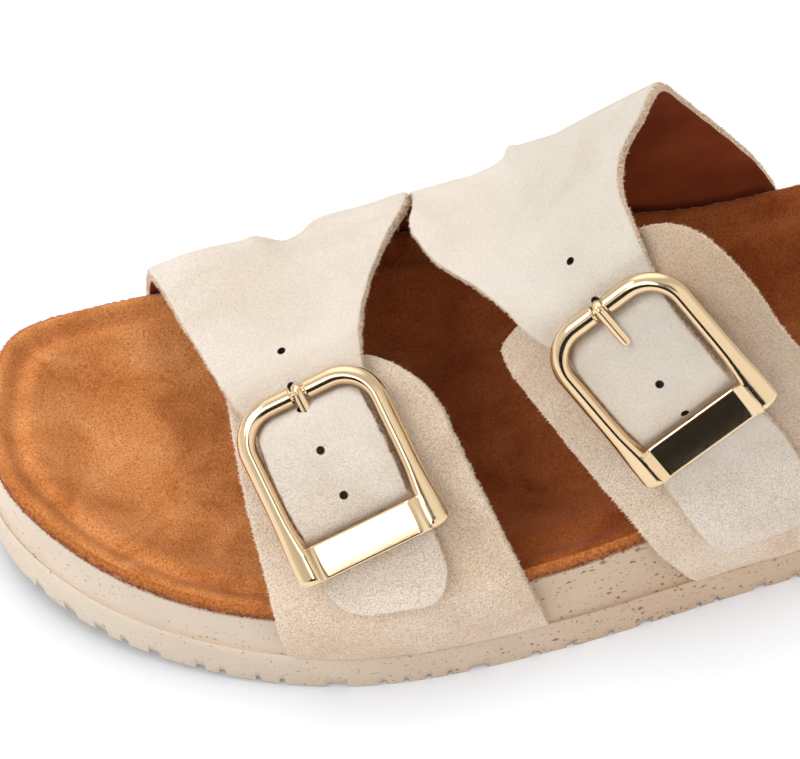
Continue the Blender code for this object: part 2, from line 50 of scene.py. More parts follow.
# Sole sizes, as in the solids
SOLE_LENGTH = 252.4
OUTSOLE_HEIGHT = 10.6
TOE_SPRING = 6.6
SPRING_START = 175.0
LEDGE_INSET = 1.6
RIM_INSET = 2.4
RIM_BLEND = 25.0
INSOLE_THICKNESS = 3.0
LIP_WIDTH = 2.5
LIP_SLOPE = 19.0
SPINE_HEEL = 34.0
SPINE_TOE = 210.0
MIDDLE_SHARE = 0.6
AROUND = 480
FINE_AROUND = 900
CURVE_STEPS = 40

# Raw edge of the insole, from below up (depth under the rim, out from it)
RIM_PROFILE = (
    (3.0, -0.2), (2.5, 0.08), (2.0, 0.12), (1.5, 0.12), (1.0, 0.06), (0.6, -0.1), (0.28, -0.35),
)
RIM_ROUGH = 0.1
RIM_RUST_FROM = 1.9
RIM_FIBRES = 26000
RIM_FIBRE_FROM = 0.9
RIM_FIBRE_SPAN = 2.0
RIM_FIBRE_RUST = 1.5
RIM_FIBRE_OUT = 0.1
RIM_FIBRE_HANG = -0.3
RIM_FIBRE_LENGTH = 0.5
RIM_FIBRE_GIRTH = (0.06, 0.13)

# Footbed: shares of the way to the spine, and relief inside the edge (inset, half width, height)
BED_SHARES = np.append(np.linspace(0.024, 0.3, 40), np.linspace(0.32, 0.97, 26))
BED_UNDER_SHARES = (0.9, 0.6, 0.35, 0.15)
BED_EDGE_SHARE = 0.03
BED_RELIEF = ((5.4, 2.1, -1.7), (2.0, 1.5, 0.4))
MARKS_FROM = 6.0

# Cove at the foot of the midsole's wall (out from the wall, height)
MIDSOLE_COVE = (
    (0.75, -0.95), (0.6, -0.84), (0.44, -0.62), (0.3, -0.3), (0.17, 0.1), (0.06, 0.55), (0.0, 1.0),
)
MIDSOLE_WALL = np.linspace(0.12, 1.0, 8)
MIDSOLE_EASE = 0.4
MIDSOLE_ROUND = 0.5
MIDSOLE_SHARES = (0.12, 0.3, 0.6, 0.9)

# Outsole from the tread up and over to the ledge (inset, height)
OUTSOLE_PROFILE = (
    (0.35, 0.0), (0.12, 0.12), (0.0, 0.4), (0.0, 4.0), (0.0, 7.0), (0.0, 8.4), (0.04, 9.2),
    (0.14, 9.8), (0.3, 10.2), (0.5, 10.36), (0.7, 10.3), (0.9, 10.1), (1.15, 9.9), (1.35, 9.8),
)

# Tread grooves across the shoe (x, width)
GROOVES = (
    (14.0, 1.2), (22.0, 3.2), (29.0, 1.2), (33.6, 1.0), (38.0, 1.2), (46.0, 3.6), (53.0, 1.2),
    (57.6, 1.0), (62.0, 1.2), (70.0, 3.6), (77.0, 1.2), (81.6, 1.0), (86.0, 1.4), (93.5, 2.0),
    (101.0, 2.8), (110.3, 1.1), (114.2, 1.1), (119.9, 0.8), (125.5, 2.9), (132.9, 1.3),
    (141.4, 1.9), (148.7, 1.9), (160.5, 4.0), (166.3, 1.1), (170.7, 1.3), (175.1, 1.0),
    (179.7, 1.7), (188.8, 4.3), (199.5, 1.2), (204.1, 1.2), (210.9, 1.4), (215.0, 1.8),
    (223.6, 2.2), (229.0, 1.2), (233.2, 2.0), (238.6, 1.8), (244.0, 1.4),
)
GROOVE_DEPTH = 1.9
GROOVE_BELOW = -2.0
GROOVE_CHAMFER = 0.6
GROOVE_ENDS = (-65.0, 65.0)

# Upper sizes; a base piece gets thinner by the skive towards the ledge that it is glued to
STRAP_THICKNESS = 2.2
SKIVE = 0.85
SKIVE_RUN = 3.6
RIM_ROUND = 6.0
RIM_CLEAR = 1.2
LATERAL_ROUND = 18.0
MEDIAL_ROUND = 13.0
CORNER_STEPS = 17
CORNER_LIMIT = 0.47
FOOT_HEART = np.array([0.0, 0.0, 25.0])
LAYER_LIFT = STRAP_THICKNESS + FIT_GAP
LAYER_GAP = 1.5
LAYER_RAMP = 16.0
RISE_FADE = 9.0
SEAT_REACH = 2.0
SEAT_EASE = 2.0
SEAT_SOFT = 0.16
DOME_SHOULDER = 1.1
DOME_FALL = 0.22
STRAP_GAPS = (0.25, 0.75)
STRAP_SHARP = 50.0
END_ROWS = 22
END_GAP = 0.6
EDGE_SOFT = 0.5
EDGE_DROP = 0.6
EDGE_WANDER = 0.05
EDGE_ROUGH = 0.13
EDGE_LOOPS = (0.34, 0.68)
EDGE_INSIDE = (2, 3)
EDGE_STEPS = np.array([0.0, 0.12, 0.3, 0.55, 0.9, 1.4])
HOLE_RADIUS = 0.85
HOLE_SIDES = 20
HOLE_DEPTH = 7.0
HOLE_ROWS = 6
HOLE_COLUMNS = 4

# Fibres that stand out of a raw edge
FRINGE_PER_MM = 24
FRINGE_LENGTH = 0.64
FRINGE_GIRTH = (0.07, 0.19)
FRINGE_DEPTH = 0.9
FIBRE_LEAN = 0.55
FIBRE_LIFT = 0.25
FIBRE_SHORTEST = 0.35
FIBRE_ROOT = 0.15
FIBRE_CORNERS = (0.0, 2.094, 4.189)

# Buckle sizes
BAR_RADIUS = 1.65
BUCKLE_REACH = 31.0
BUCKLE_FLOAT = 0.57
BUCKLE_SHARP = 35.0
CORNER_RADIUS = 7.0
CORNER_TURN = 18
ROD_RADIUS = 1.87
ROD_LEVEL = 1.75
ROD_SIDES = 48
ROD_SHARP = 30.0
FRAME_HALF = 15.5
RAIL_IN = 1.45
RAIL_OUT = 2.2
RAIL_STATIONS = (2.4, 3.2, 4.0, 5.0, 6.2, 7.6, 9.2, 11.0, 13.0, 17.0, 22.0)
BAR_STATIONS = (-4.6, -3.0, -2.2, -1.75, -1.62, -1.5, -1.3, -1.25, -0.5)
FLARE_START = -4.0
FLARE_RUN = 11.0
EAR_FLARE = 1.1
EAR_OUT = 0.3
EAR_RISE = 0.06
EAR_ROUND = 1.7
EAR_STEPS = 12
EAR_TIP = 0.004

# Plate between the rails; its sweeps up to them are at the toe end and the heel end
PLATE_WIDTH = 7.4
PLATE_TOP = 2.3
PLATE_LOW = 0.1
PLATE_LOW_RISE = 0.3
PLATE_SPARE = 0.1
PLATE_EDGE = 0.5
PLATE_OVER = 0.3
PLATE_SUNK = 0.03
PLATE_SWEEPS = (1.8, 2.8)
PLATE_TUCK = 0.9
PLATE_TUCK_RUN = 0.8
PLATE_STEPS = 61
PLATE_CORNER_STEPS = 5

# Prong: section (across, up), bend round the bar, stations along the pin, shrinking tip
PRONG_SECTION = (
    (0.05, 0.58), (0.65, 0.32), (0.95, 0.02), (0.9, -0.28), (0.6, -0.45),
    (-0.6, -0.45), (-0.9, -0.28), (-0.95, 0.02), (-0.65, 0.32), (-0.05, 0.58),
)
PRONG_LOOP = 1.45
PRONG_BEND = np.linspace(-0.6, 0.5, 16) * math.pi
PRONG_STATIONS = (0.08, 0.2, 0.4, 0.6, 0.8, 0.9, 0.95, 0.985, 1.0)
PRONG_TIP = (0.98, 0.9, 0.7, 0.35)

# Turned neck of the bar (distance from the middle, share of the bar's radius)
NECK = ((0.0, 0.5), (1.25, 0.5), (1.3, 0.82), (1.62, 0.9), (1.75, 1.0))

# Outsole outline: heel, inner side, toe, outer side (x, y)
OUTLINE = (
    (0.0, 0.0), (12.0, -23.0), (38.0, -32.0), (70.0, -31.0), (105.0, -29.0), (140.0, -37.8),
    (172.0, -45.2), (200.0, -42.7), (223.0, -40.4), (244.0, -33.0), (251.8, -13.2), (250.0, 6.4),
    (237.7, 23.7), (219.5, 36.2), (195.7, 44.8), (172.0, 47.5), (140.0, 45.0), (105.0, 39.2),
    (70.0, 34.5), (38.0, 33.0), (12.0, 23.0),
)

# Footbed heights (x, rim on the outer side, rim on the inner side, bed)
FOOTBED = (
    (0.0, 42.0, 42.0, 31.0),
    (45.0, 41.0, 43.5, 27.5),
    (90.0, 38.7, 45.2, 28.5),
    (130.0, 30.5, 40.5, 25.0),
    (170.0, 26.8, 28.4, 21.5),
    (210.0, 24.0, 23.8, 19.0),
    (250.0, 30.0, 28.5, 24.0),
)

# Soft dents and ridges that toes press into the suede (x, y, length, width, height)
FOOT_MARKS = (
    (228.0, -20.0, 9.0, 9.0, -0.9),
    (228.0, -2.0, 7.0, 6.0, -0.7),
    (222.0, 11.0, 7.0, 6.0, -0.7),
    (213.0, 22.0, 7.0, 6.0, -0.6),
    (214.0, -8.0, 5.0, 26.0, 0.7),
    (150.0, 4.0, 30.0, 16.0, 0.8),
)

# Last over the foot (x, inner shoulder height, inner shoulder y, drop to outer shoulder, outer y)
LAST = (
    (60.0, 110.0, -23.0, 4.0, 14.0),
    (85.0, 103.0, -24.0, 4.0, 14.0),
    (120.0, 88.0, -25.0, 3.0, 14.0),
    (140.0, 73.5, -26.0, 3.0, 14.5),
    (160.0, 62.0, -27.0, 2.5, 15.0),
    (190.0, 54.0, -28.0, 1.5, 16.0),
    (212.0, 48.0, -29.0, 1.5, 16.0),
    (232.0, 43.5, -27.0, 2.0, 14.0),
)

# Strap rows, inner side first (front x, front s, rear x, rear s): s is the way round the last
# from the outer ledge, or back from the inner ledge where it is negative
STRAPS = {
    "front_strap": (
        (213.5, -0.1, 161.1, -0.1),
        (213.5, -12.0, 161.1, -14.0),
        (213.3, -26.0, 161.0, -35.0),
        (213.0, 84.0, 161.8, 99.5),
        (210.2, 75.0, 167.0, 90.5),
        (207.4, 67.0, 171.5, 82.5),
        (204.6, 59.4, 174.8, 73.5),
        (201.6, 53.4, 176.2, 64.5),
        (198.4, 48.5, 176.2, 55.0),
        (196.9, 42.7, 174.6, 49.5),
        (194.3, 34.0, 172.0, 40.8),
        (190.4, 22.8, 167.6, 28.6),
        (188.2, 15.4, 165.4, 17.4),
    ),
    "rear_strap": (
        (160.6, -0.1, 81.0, -0.1),
        (160.6, -14.0, 83.0, -24.0),
        (160.4, -34.0, 90.0, -42.0),
        (160.4, 98.0, 110.5, 125.0),
        (162.0, 91.0, 117.0, 109.5),
        (158.9, 82.9, 122.3, 100.6),
        (152.6, 75.6, 123.7, 91.5),
        (147.0, 69.4, 121.4, 79.4),
        (141.0, 63.2, 120.6, 75.6),
        (137.0, 59.2, 118.4, 70.0),
        (132.7, 51.9, 113.8, 62.9),
        (125.4, 38.7, 105.6, 50.2),
        (120.0, 26.8, 98.6, 37.5),
        (112.6, 13.6, 90.4, 16.5),
    ),
    "front_strap_base": (
        (197.7, 0.1, 146.5, 0.1),
        (199.7, 12.0, 149.7, 12.0),
        (200.9, 22.0, 153.0, 22.0),
        (202.2, 32.0, 156.4, 32.0),
        (202.9, 42.0, 159.7, 42.0),
        (202.9, 52.0, 162.8, 52.0),
        (202.6, 63.5, 166.2, 63.5),
    ),
    "rear_strap_base": (
        (115.9, 0.1, 62.0, 0.1),
        (122.4, 12.0, 69.0, 12.0),
        (129.7, 25.5, 76.6, 25.5),
        (137.5, 38.3, 84.2, 38.3),
        (144.0, 49.6, 92.0, 51.0),
        (148.6, 57.5, 100.6, 65.0),
        (150.4, 64.5, 112.0, 92.0),
    ),
}

# Corner rounding at the free ends (front corner, rear corner), rows and columns of the fine sheet
STRAP_SHAPE = {
    "front_strap": ((6.0, 6.0), 190, 64),
    "rear_strap": ((6.0, 6.0), 220, 76),
    "front_strap_base": ((9.0, 11.0), 80, 60),
    "rear_strap_base": ((6.0, 17.0), 100, 64),
}

# Where a base piece ends under its long strap (x, s) at two places
LAYERS = {
    "front": ((165.0, 63.5), (202.0, 63.5)),
    "rear": ((112.0, 92.0), (150.4, 64.5)),
}

# Height of each strap's crest over the inner shoulder along the shoe, with its folds (x, height)
CRESTS = {
    "front": (
        (163.0, 0.0), (167.5, -0.3), (171.0, -0.45), (174.5, -0.45), (177.4, -0.6), (180.4, -1.3),
        (182.0, -2.4), (183.5, -2.9), (185.0, -3.2), (186.6, -3.2), (189.4, -1.7), (191.7, -0.6),
        (194.0, -0.8), (197.0, -0.6), (203.0, -0.3), (206.5, -0.4), (210.0, -0.8), (213.5, -1.2),
    ),
    "rear": (
        (100.0, 0.2), (109.0, 0.0), (113.0, -0.25), (116.5, -0.5), (120.6, -0.75), (124.5, -0.85),
        (128.7, -0.9), (132.2, -0.9), (136.3, 0.0), (138.6, 0.4), (140.3, 1.0), (141.8, -0.7),
        (143.2, -1.2), (145.3, -1.5), (148.6, -1.5), (152.0, -1.0), (156.0, -0.7), (160.6, -0.4),
    ),
}
CREST_MIDDLE = 8.0
CREST_REACH = (13.0, 26.0)

# Buckles: middle of the bar and of the plate on the last (x, s, height to spare), dome of the strap
# inside the frame, length of prong that shows, height of its tip
BUCKLES = {
    "front": {
        "bar": (188.9, 56.8, 0.9), "plate": (180.0, 29.8, 0.9), "dome": 4.2, "prong": 5.8, "tip": 2.2,
    },
    "rear": {
        "bar": (130.7, 72.2, 2.4), "plate": (113.9, 44.0, 3.0), "dome": 3.0, "prong": 8.4, "tip": 3.05,
    },
}

# Punched holes along each strap (x, s)
HOLES = {
    "front_strap": ((190.6, 64.5), (189.9, 57.6), (188.8, 54.0), (186.6, 46.5), (183.6, 38.7)),
    "rear_strap": ((133.8, 78.0), (130.8, 71.4), (127.7, 65.8), (122.5, 56.5), (118.2, 49.6)),
}


def smoothstep(value):
    value = np.clip(value, 0.0, 1.0)
    return value * value * (3.0 - 2.0 * value)


def read_table(table, x):
    """Every column of a table at x, on smooth curves through its rows."""
    data = np.asarray(table, float)
    stations = data[:, 0]
    x = np.clip(np.asarray(x, float), stations[0], stations[-1])
    row = np.clip(np.searchsorted(stations, x) - 1, 0, len(stations) - 2)
    slopes = np.gradient(data[:, 1:], stations, axis=0)
    span = (stations[row + 1] - stations[row])[..., None]
    t = (x - stations[row])[..., None] / span
    return (
        (2 * t**3 - 3 * t**2 + 1) * data[row, 1:]
        + (t**3 - 2 * t**2 + t) * span * slopes[row]
        + (3 * t**2 - 2 * t**3) * data[row + 1, 1:]
        + (t**3 - t**2) * span * slopes[row + 1]
    )


def ways_along(line):
    """Distance of each point from the start of a line."""
    return np.append(0.0, np.cumsum(np.linalg.norm(np.diff(line, axis=0), axis=1)))


def resampled(line, ways, places):
    """Points at places along a flat line."""
    return np.column_stack([np.interp(places, ways, line[:, axis]) for axis in (0, 1)])


def closed_curve(points, count):
    """Points evenly spaced along the smooth closed curve through the given ones."""
    knots = np.array(points)
    around = np.vstack([knots[-2:], knots, knots[:3]])
    curve = []
    for k in range(len(knots)):
        before, start, end, after = around[k + 1:k + 5]
        for t in np.linspace(0.0, 1.0, CURVE_STEPS, endpoint=False):
            curve.append(0.5 * (2 * start + (end - before) * t
                                + (2 * before - 5 * start + 4 * end - after) * t**2
                                + (3 * start - before - 3 * end + after) * t**3))
    curve = np.vstack([curve, curve[0]])
    ways = ways_along(curve)
    return resampled(curve, ways, np.linspace(0.0, ways[-1], count, endpoint=False))


FINE_OUTLINE = closed_curve(OUTLINE, FINE_AROUND)
TOE_INDEX = int(FINE_OUTLINE[:, 0].argmax())
INNER_SIDE = FINE_OUTLINE[:TOE_INDEX + 1]
OUTER_SIDE = FINE_OUTLINE[TOE_INDEX:][::-1]


def outer_y(x):
    return np.interp(x, OUTER_SIDE[:, 0], OUTER_SIDE[:, 1])


def inner_y(x):
    return np.interp(x, INNER_SIDE[:, 0], INNER_SIDE[:, 1])


def floor_z(x):
    reach = (x - SPRING_START) / (SOLE_LENGTH - SPRING_START)
    return TOE_SPRING * np.clip(reach, 0.0, 1.0) ** 2


def ledge_z(x):
    return floor_z(x) + OUTSOLE_HEIGHT


def rim_z(x, y):
    columns = read_table(FOOTBED, x)
    share = smoothstep((y + RIM_BLEND) / (2.0 * RIM_BLEND))
    return share * columns[..., 0] + (1.0 - share) * columns[..., 1]


def bed_z(x):
    return read_table(FOOTBED, x)[..., 2]


def outline_ring(inset, count=AROUND):
    """Outline points moved in by inset, square to the edge."""
    ring = closed_curve(OUTLINE, count)
    along = np.roll(ring, -2, axis=0) - np.roll(ring, 2, axis=0)
    along /= np.linalg.norm(along, axis=1)[:, None]
    return ring - np.column_stack([along[:, 1], -along[:, 0]]) * inset


def shrunk_ring(ring, share):
    """A ring drawn in towards the spine that runs from heel to toe."""
    x = np.clip(ring[:, 0], SPINE_HEEL, SPINE_TOE)
    spine = np.column_stack([x, 0.5 * (outer_y(x) + inner_y(x))])
    return ring + (spine - ring) * share


def raised(ring, height):
    return np.column_stack([ring, np.broadcast_to(height, len(ring))])


# The last, sampled once: y and z for each station and share of the way round

STATIONS = np.arange(56.0, 238.0, 1.0)
SHARES = np.linspace(0.0, 1.0, 401)


def last_section(x):
    """Line from the outer ledge over the foot to the inner one, its length, and the way along it to
    the inner shoulder."""
    shoulder_z, inner_shoulder, drop, outer_shoulder = read_table(LAST, x)
    outer_rim = outer_y(x) - RIM_INSET + FIT_GAP + RIM_CLEAR
    inner_rim = inner_y(x) + RIM_INSET - FIT_GAP - RIM_CLEAR
    foot = ledge_z(x) + FIT_GAP
    corners = np.array([
        (outer_y(x) - LEDGE_INSET + FIT_GAP, foot),
        (outer_rim, rim_z(x, outer_rim)),
        (outer_shoulder, shoulder_z - drop),
        (inner_shoulder, shoulder_z),
        (inner_rim, rim_z(x, inner_rim)),
        (inner_y(x) + LEDGE_INSET - FIT_GAP, foot),
    ])
    line = [corners[0]]
    rounds = (RIM_ROUND, LATERAL_ROUND, MEDIAL_ROUND, RIM_ROUND)
    for before, corner, after, setback in zip(corners, corners[1:], corners[2:], rounds):
        lead_in, lead_out = before - corner, after - corner
        start = corner + lead_in * min(setback / np.linalg.norm(lead_in), CORNER_LIMIT)
        end = corner + lead_out * min(setback / np.linalg.norm(lead_out), CORNER_LIMIT)
        for t in np.linspace(0.0, 1.0, CORNER_STEPS):
            line.append((1 - t) ** 2 * start + 2 * t * (1 - t) * corner + t**2 * end)
    line = np.array(line + [corners[-1]])
    ways = ways_along(line)
    shoulder = 1 + 2 * CORNER_STEPS + CORNER_STEPS // 2
    return resampled(line, ways, SHARES * ways[-1]), ways[-1], ways[shoulder]


SECTIONS = [last_section(x) for x in STATIONS]
LAST_SHAPE = np.array([section[0] for section in SECTIONS])
GIRTHS = np.array([section[1] for section in SECTIONS])
SHOULDERS = np.array([section[2] for section in SECTIONS])


def girth(x):
    return np.interp(x, STATIONS, GIRTHS)


def last_at(x, share):
    """Points of the last at stations and shares of the way round."""
    x, share = np.broadcast_arrays(np.asarray(x, float), np.clip(share, 0.0, 1.0))
    u = np.clip(x - STATIONS[0], 0.0, len(STATIONS) - 1.001)
    v = np.clip(share * (len(SHARES) - 1), 0.0, len(SHARES) - 1.001)
    i, j = u.astype(int), v.astype(int)
    a, b = (u - i)[..., None], (v - j)[..., None]
    shape = ((1 - a) * (1 - b) * LAST_SHAPE[i, j] + a * (1 - b) * LAST_SHAPE[i + 1, j]
             + (1 - a) * b * LAST_SHAPE[i, j + 1] + a * b * LAST_SHAPE[i + 1, j + 1])
    return np.concatenate([x[..., None], shape], axis=-1)


def way_share(x, s):
    length = girth(x)
    return np.where(s >= 0.0, s, length + s) / length


def unit(vectors):
    return vectors / np.maximum(np.linalg.norm(vectors, axis=-1, keepdims=True), 1e-9)


def grid_normals(points):
    """Outward directions of a grid laid over the foot."""
    normals = unit(np.cross(np.gradient(points, axis=0), np.gradient(points, axis=1)))
    away = points - FOOT_HEART
    away[..., 0] = 0.0
    return normals if (normals * away).sum() > 0.0 else -normals


def row_ends(rows):
    """Points at the front end and the rear end of each row."""
    return last_at(*rows[:, :2].T), last_at(*rows[:, 2:].T)


def row_ways(rows):
    front, rear = row_ends(rows)
    return ways_along(0.5 * (front + rear))


def row_widths(rows):
    front, rear = row_ends(rows)
    return np.linalg.norm(front - rear, axis=1)


def strap_rows(table, radii, count):
    """Rows along a strap (front x, front share, rear x, rear share), closing in at its round end,
    and the way that is left from each row to that end."""
    table = np.array(table)
    ends = np.column_stack([table[:, 0], way_share(table[:, 0], table[:, 1]),
                            table[:, 2], way_share(table[:, 2], table[:, 3])])
    ways = row_ways(ends)
    rows = read_table(np.column_stack([ways, ends]), np.linspace(0.0, ways[-1], count))
    ways = row_ways(rows)
    stretch = max(radii)
    lefts = stretch * (1.0 - np.sin(np.linspace(0.0, 0.5 * math.pi, END_ROWS)))
    places = np.append(ways[ways < ways[-1] - stretch - END_GAP], ways[-1] - lefts)
    rows = read_table(np.column_stack([ways, rows]), places)
    left = ways[-1] - places
    width = row_widths(rows)
    pulls = [radius - np.sqrt(np.maximum(radius**2 - np.maximum(radius - left, 0.0) ** 2, 0.0))
             for radius in radii]
    front, rear = (pull / width for pull in pulls)
    across = rows[:, 2:] - rows[:, :2]
    rows = np.column_stack([rows[:, :2] + across * front[:, None],
                            rows[:, 2:] - across * rear[:, None]])
    return rows, left


def buckle_place(side):
    """Turn and middle of a buckle: its bar and plate rest on the strap, X along the bar, Y towards
    the bar."""
    step_x, step_share = 0.8, 0.006
    feet, normals = [], []
    for seat in ("bar", "plate"):
        x, s, spare = BUCKLES[side][seat]
        share = way_share(x, s)
        along = last_at(x + step_x, share) - last_at(x - step_x, share)
        around = last_at(x, share + step_share) - last_at(x, share - step_share)
        outward = unit(np.cross(around, along))
        height = LAYER_LIFT + STRAP_THICKNESS + FIT_GAP + spare
        feet.append(last_at(x, share) + outward * height)
        normals.append(outward)
    up = unit(feet[0] - feet[1])
    across = unit(np.cross(up, normals[0] + normals[1]))
    turn = np.column_stack([across, up, np.cross(across, up)])
    return turn, 0.5 * (feet[0] + feet[1])


PLACES = {side: buckle_place(side) for side in BUCKLES}


def rail_flare(y):
    """How far the rails have widened towards the plate, from none to all."""
    return smoothstep((FLARE_START - y) / FLARE_RUN)


def rail_middle(y):
    """Distance of a rail's crest from the middle of the buckle, and its outer half width."""
    out = RAIL_OUT + EAR_FLARE * rail_flare(y)
    return FRAME_HALF + EAR_OUT * EAR_FLARE * rail_flare(y) - out, out


def seat_strap(side, points):
    """The strap passes under the bar and the plate, and bulges up between the rails."""
    turn, centre = PLACES[side]
    x, y, z = np.moveaxis((points - centre) @ turn, -1, 0)
    reach = BUCKLE_REACH / 2.0
    top, foot = reach - ROD_RADIUS, -reach + PLATE_WIDTH / 2.0
    half = rail_middle(y)[0] - RAIL_IN
    near = smoothstep(SEAT_REACH + z / RISE_FADE)
    between = smoothstep((top - y) / SEAT_EASE) * smoothstep((y - foot) / SEAT_EASE) * near
    left = np.minimum((STRAP_GAPS[0] - half) / x[:, :1], 1.0)
    right = np.minimum((half - STRAP_GAPS[1]) / x[:, -1:], 1.0)
    x = x * (1.0 + (np.where(x < 0.0, left, right) - 1.0) * between)
    corner = CORNER_RADIUS - ROD_RADIUS
    past = np.clip(np.abs(x) - half + corner, 0.0, corner)
    depth = np.minimum(top - corner + np.sqrt(corner**2 - past**2) - y, y - foot)
    fall = 1.0 - DOME_FALL * np.minimum(np.abs(x) / half, 1.0) ** 4
    bulge = (1.0 - np.exp(-np.maximum(depth, 0.0) / DOME_SHOULDER)) * fall
    gap = BUCKLES[side]["dome"] * bulge - BUCKLE_FLOAT - z
    fade = 1.0 - smoothstep((np.abs(y) - reach - BAR_RADIUS) / RISE_FADE)
    rise = 0.5 * (gap + np.sqrt(gap**2 + SEAT_SOFT)) * fade * near
    return np.stack([x, y, z + rise], -1) @ turn.T + centre


def crest_fold(side, x, share):
    """Soft troughs and ridges over the inner shoulder."""
    past = share * girth(x) - np.interp(x, STATIONS, SHOULDERS)
    height = read_table(CRESTS[side], x)[..., 0]
    reach = np.where(past < CREST_MIDDLE, *CREST_REACH)
    return height * np.exp(-((past - CREST_MIDDLE) / reach) ** 2)


def layer_lift(side, x, share):
    """Height of a long strap over the last: on its base piece, and down to the last beyond it."""
    (low_x, low_s), (high_x, high_s) = LAYERS[side]
    end = low_s + (high_s - low_s) * (x - low_x) / (high_x - low_x)
    past = share * girth(x) - end - LAYER_GAP
    return LAYER_LIFT * (1.0 - smoothstep(past / LAYER_RAMP)) + crest_fold(side, x, share)


# Mesh helpers

def to_metres(points):
    return (np.asarray(points) - SHOE_CENTRE) * MM


def placed(name, data):
    """New object in the scene."""
    obj = bpy.data.objects.new(name, data)
    bpy.context.scene.collection.objects.link(obj)
    return obj


def mesh_object(name, points, faces, materials, indices=None, smooth_angle=40.0):
    data = bpy.data.meshes.new(name)
    data.from_pydata(to_metres(points).tolist(), [], faces)
    for material in materials:
        data.materials.append(material)
    if indices is not None:
        data.polygons.foreach_set("material_index", np.asarray(indices, np.int32))
    data.shade_smooth()
    data.set_sharp_from_angle(angle=math.radians(smooth_angle))
    data.validate()
    return placed(name, data)


def dress(obj, node, replace=True):
    """A piece rides on the shoe; when it replaces its node, that node is hidden."""
    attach(obj, "root")
    if replace:
        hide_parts(node)


def apply_boolean(obj, tool, operation):
    step = obj.modifiers.new("cut", "BOOLEAN")
    step.operation = operation
    step.solver = "MANIFOLD"
    step.object = tool
    shaped = obj.evaluated_get(bpy.context.evaluated_depsgraph_get())
    result = bpy.data.meshes.new_from_object(shaped)
    obj.modifiers.clear()
    obj.data = result
    bpy.data.objects.remove(tool)


def grid_faces(rows, columns, start, flip):
    index = start + np.arange(rows * columns).reshape(rows, columns)
    quads = np.stack([index[:-1, :-1], index[:-1, 1:], index[1:, 1:], index[1:, :-1]], -1)
    return (quads[..., ::-1] if flip else quads).reshape(-1, 4).tolist()


def border(rows, columns):
    """Vertex numbers round the border of a grid, in order."""
    index = np.arange(rows * columns).reshape(rows, columns)
    return np.concatenate([index[0, :-1], index[:-1, -1], index[-1, :0:-1], index[:0:-1, 0]])


def band_faces(near, far):
    return np.stack([near, np.roll(near, -1), np.roll(far, -1), far], -1).tolist()


def ring_faces(levels, count):
    faces = []
    for k in range(levels - 1):
        near = k * count + np.arange(count)
        faces += band_faces(near, near + count)
    return faces


def cap_faces(start, count):
    """Faces that close a ring across the spine."""
    half, end = count // 2, start + count
    faces = [[start, start + 1, end - 1]]
    faces += [[start + k, start + k + 1, end - k - 1, end - k] for k in range(1, half - 1)]
    return faces + [[start + half - 1, start + half, start + half + 1]]


def face_outwards(obj):
    """Turn the faces of a closed body outwards."""
    mesh = bmesh.new()
    mesh.from_mesh(obj.data)
    bmesh.ops.recalc_face_normals(mesh, faces=mesh.faces)
    mesh.to_mesh(obj.data)
    mesh.free()
    return obj


def lofted(name, rings, materials, indices=None):
    """A closed body through rings of equal count."""
    count = len(rings[0])
    faces = ring_faces(len(rings), count)
    sides = len(faces)
    last = (len(rings) - 1) * count
    faces += cap_faces(0, count) + [face[::-1] for face in cap_faces(last, count)]
    slots = None
    if indices is not None:
        slots = np.append(np.repeat(indices, count), np.zeros(len(faces) - sides))
    return face_outwards(mesh_object(name, np.vstack(rings), faces, materials, slots))


def add_fringe(name, node, roots, outward, normals, length, girth_range, material):
    """Short tapered fibres that stand out of a raw edge, each a closed spike."""
    count = len(roots)
    lean = unit(outward + FIBRE_LEAN * rng.normal(size=(count, 3))
                + FIBRE_LIFT * normals * rng.normal(size=(count, 1)))
    size = length * (FIBRE_SHORTEST + rng.random((count, 1)) ** 2)
    side = unit(np.cross(lean, rng.normal(size=(count, 3))))
    other = np.cross(lean, side)
    thick = rng.uniform(*girth_range, size=(count, 1))
    base = roots - lean * FIBRE_ROOT
    corners = [base + thick * (math.cos(a) * side + math.sin(a) * other) for a in FIBRE_CORNERS]
    points = np.stack(corners + [roots + lean * size], 1).reshape(-1, 3)
    start = 4 * np.arange(count)[:, None]
    spike = ((0, 2, 1), (0, 1, 3), (1, 2, 3), (2, 0, 3))
    faces = np.concatenate([start + np.array(face) for face in spike])
    obj = mesh_object(name, points, faces.tolist(), [material])
    dress(obj, node, replace=False)


# Materials

# Reach of the tints along the shoe from its middle, and how far their edges wander (metres)
TINT_REACH = 0.13
TINT_WANDER = 0.012

# Painted shade on the footbed along the shoe, deeper towards the heel (x in metres, tint)
HEEL_SHADE_TONE = ((0.028, (0.47, 0.32, 0.25)), (0.052, (0.6, 0.46, 0.38)), (0.092, (1.0, 1.0, 1.0)))

# Painted light and shade on the straps by height: paler near the sole, deeper over the instep (z in
# metres, tint)
LONG_LIGHT_SHADE = (
    (0.024, (1.15, 1.13, 1.12)), (0.05, (1.0, 1.0, 1.0)),
    (0.062, (1.0, 1.0, 1.0)), (0.078, (0.88, 0.9, 0.9)),
)
BASE_LIGHT_SHADE = (
    (0.024, (1.15, 1.13, 1.12)), (0.05, (1.0, 1.0, 1.0)),
    (0.058, (0.95, 0.93, 0.91)), (0.076, (0.8, 0.75, 0.7)),
)

# Heights between which the grain of the suede calms down (metres), and size of the nap over the grain
CALM_HEIGHTS = (0.04, 0.058)
NAP_SIZE = 2.6

# Painted shade on the foam along the shoe: darker and warmer towards the heel (x in metres, tint)
FOAM_SHADE_TONE = ((-0.005, (0.9, 0.77, 0.66)), (0.08, (0.98, 0.95, 0.92)))

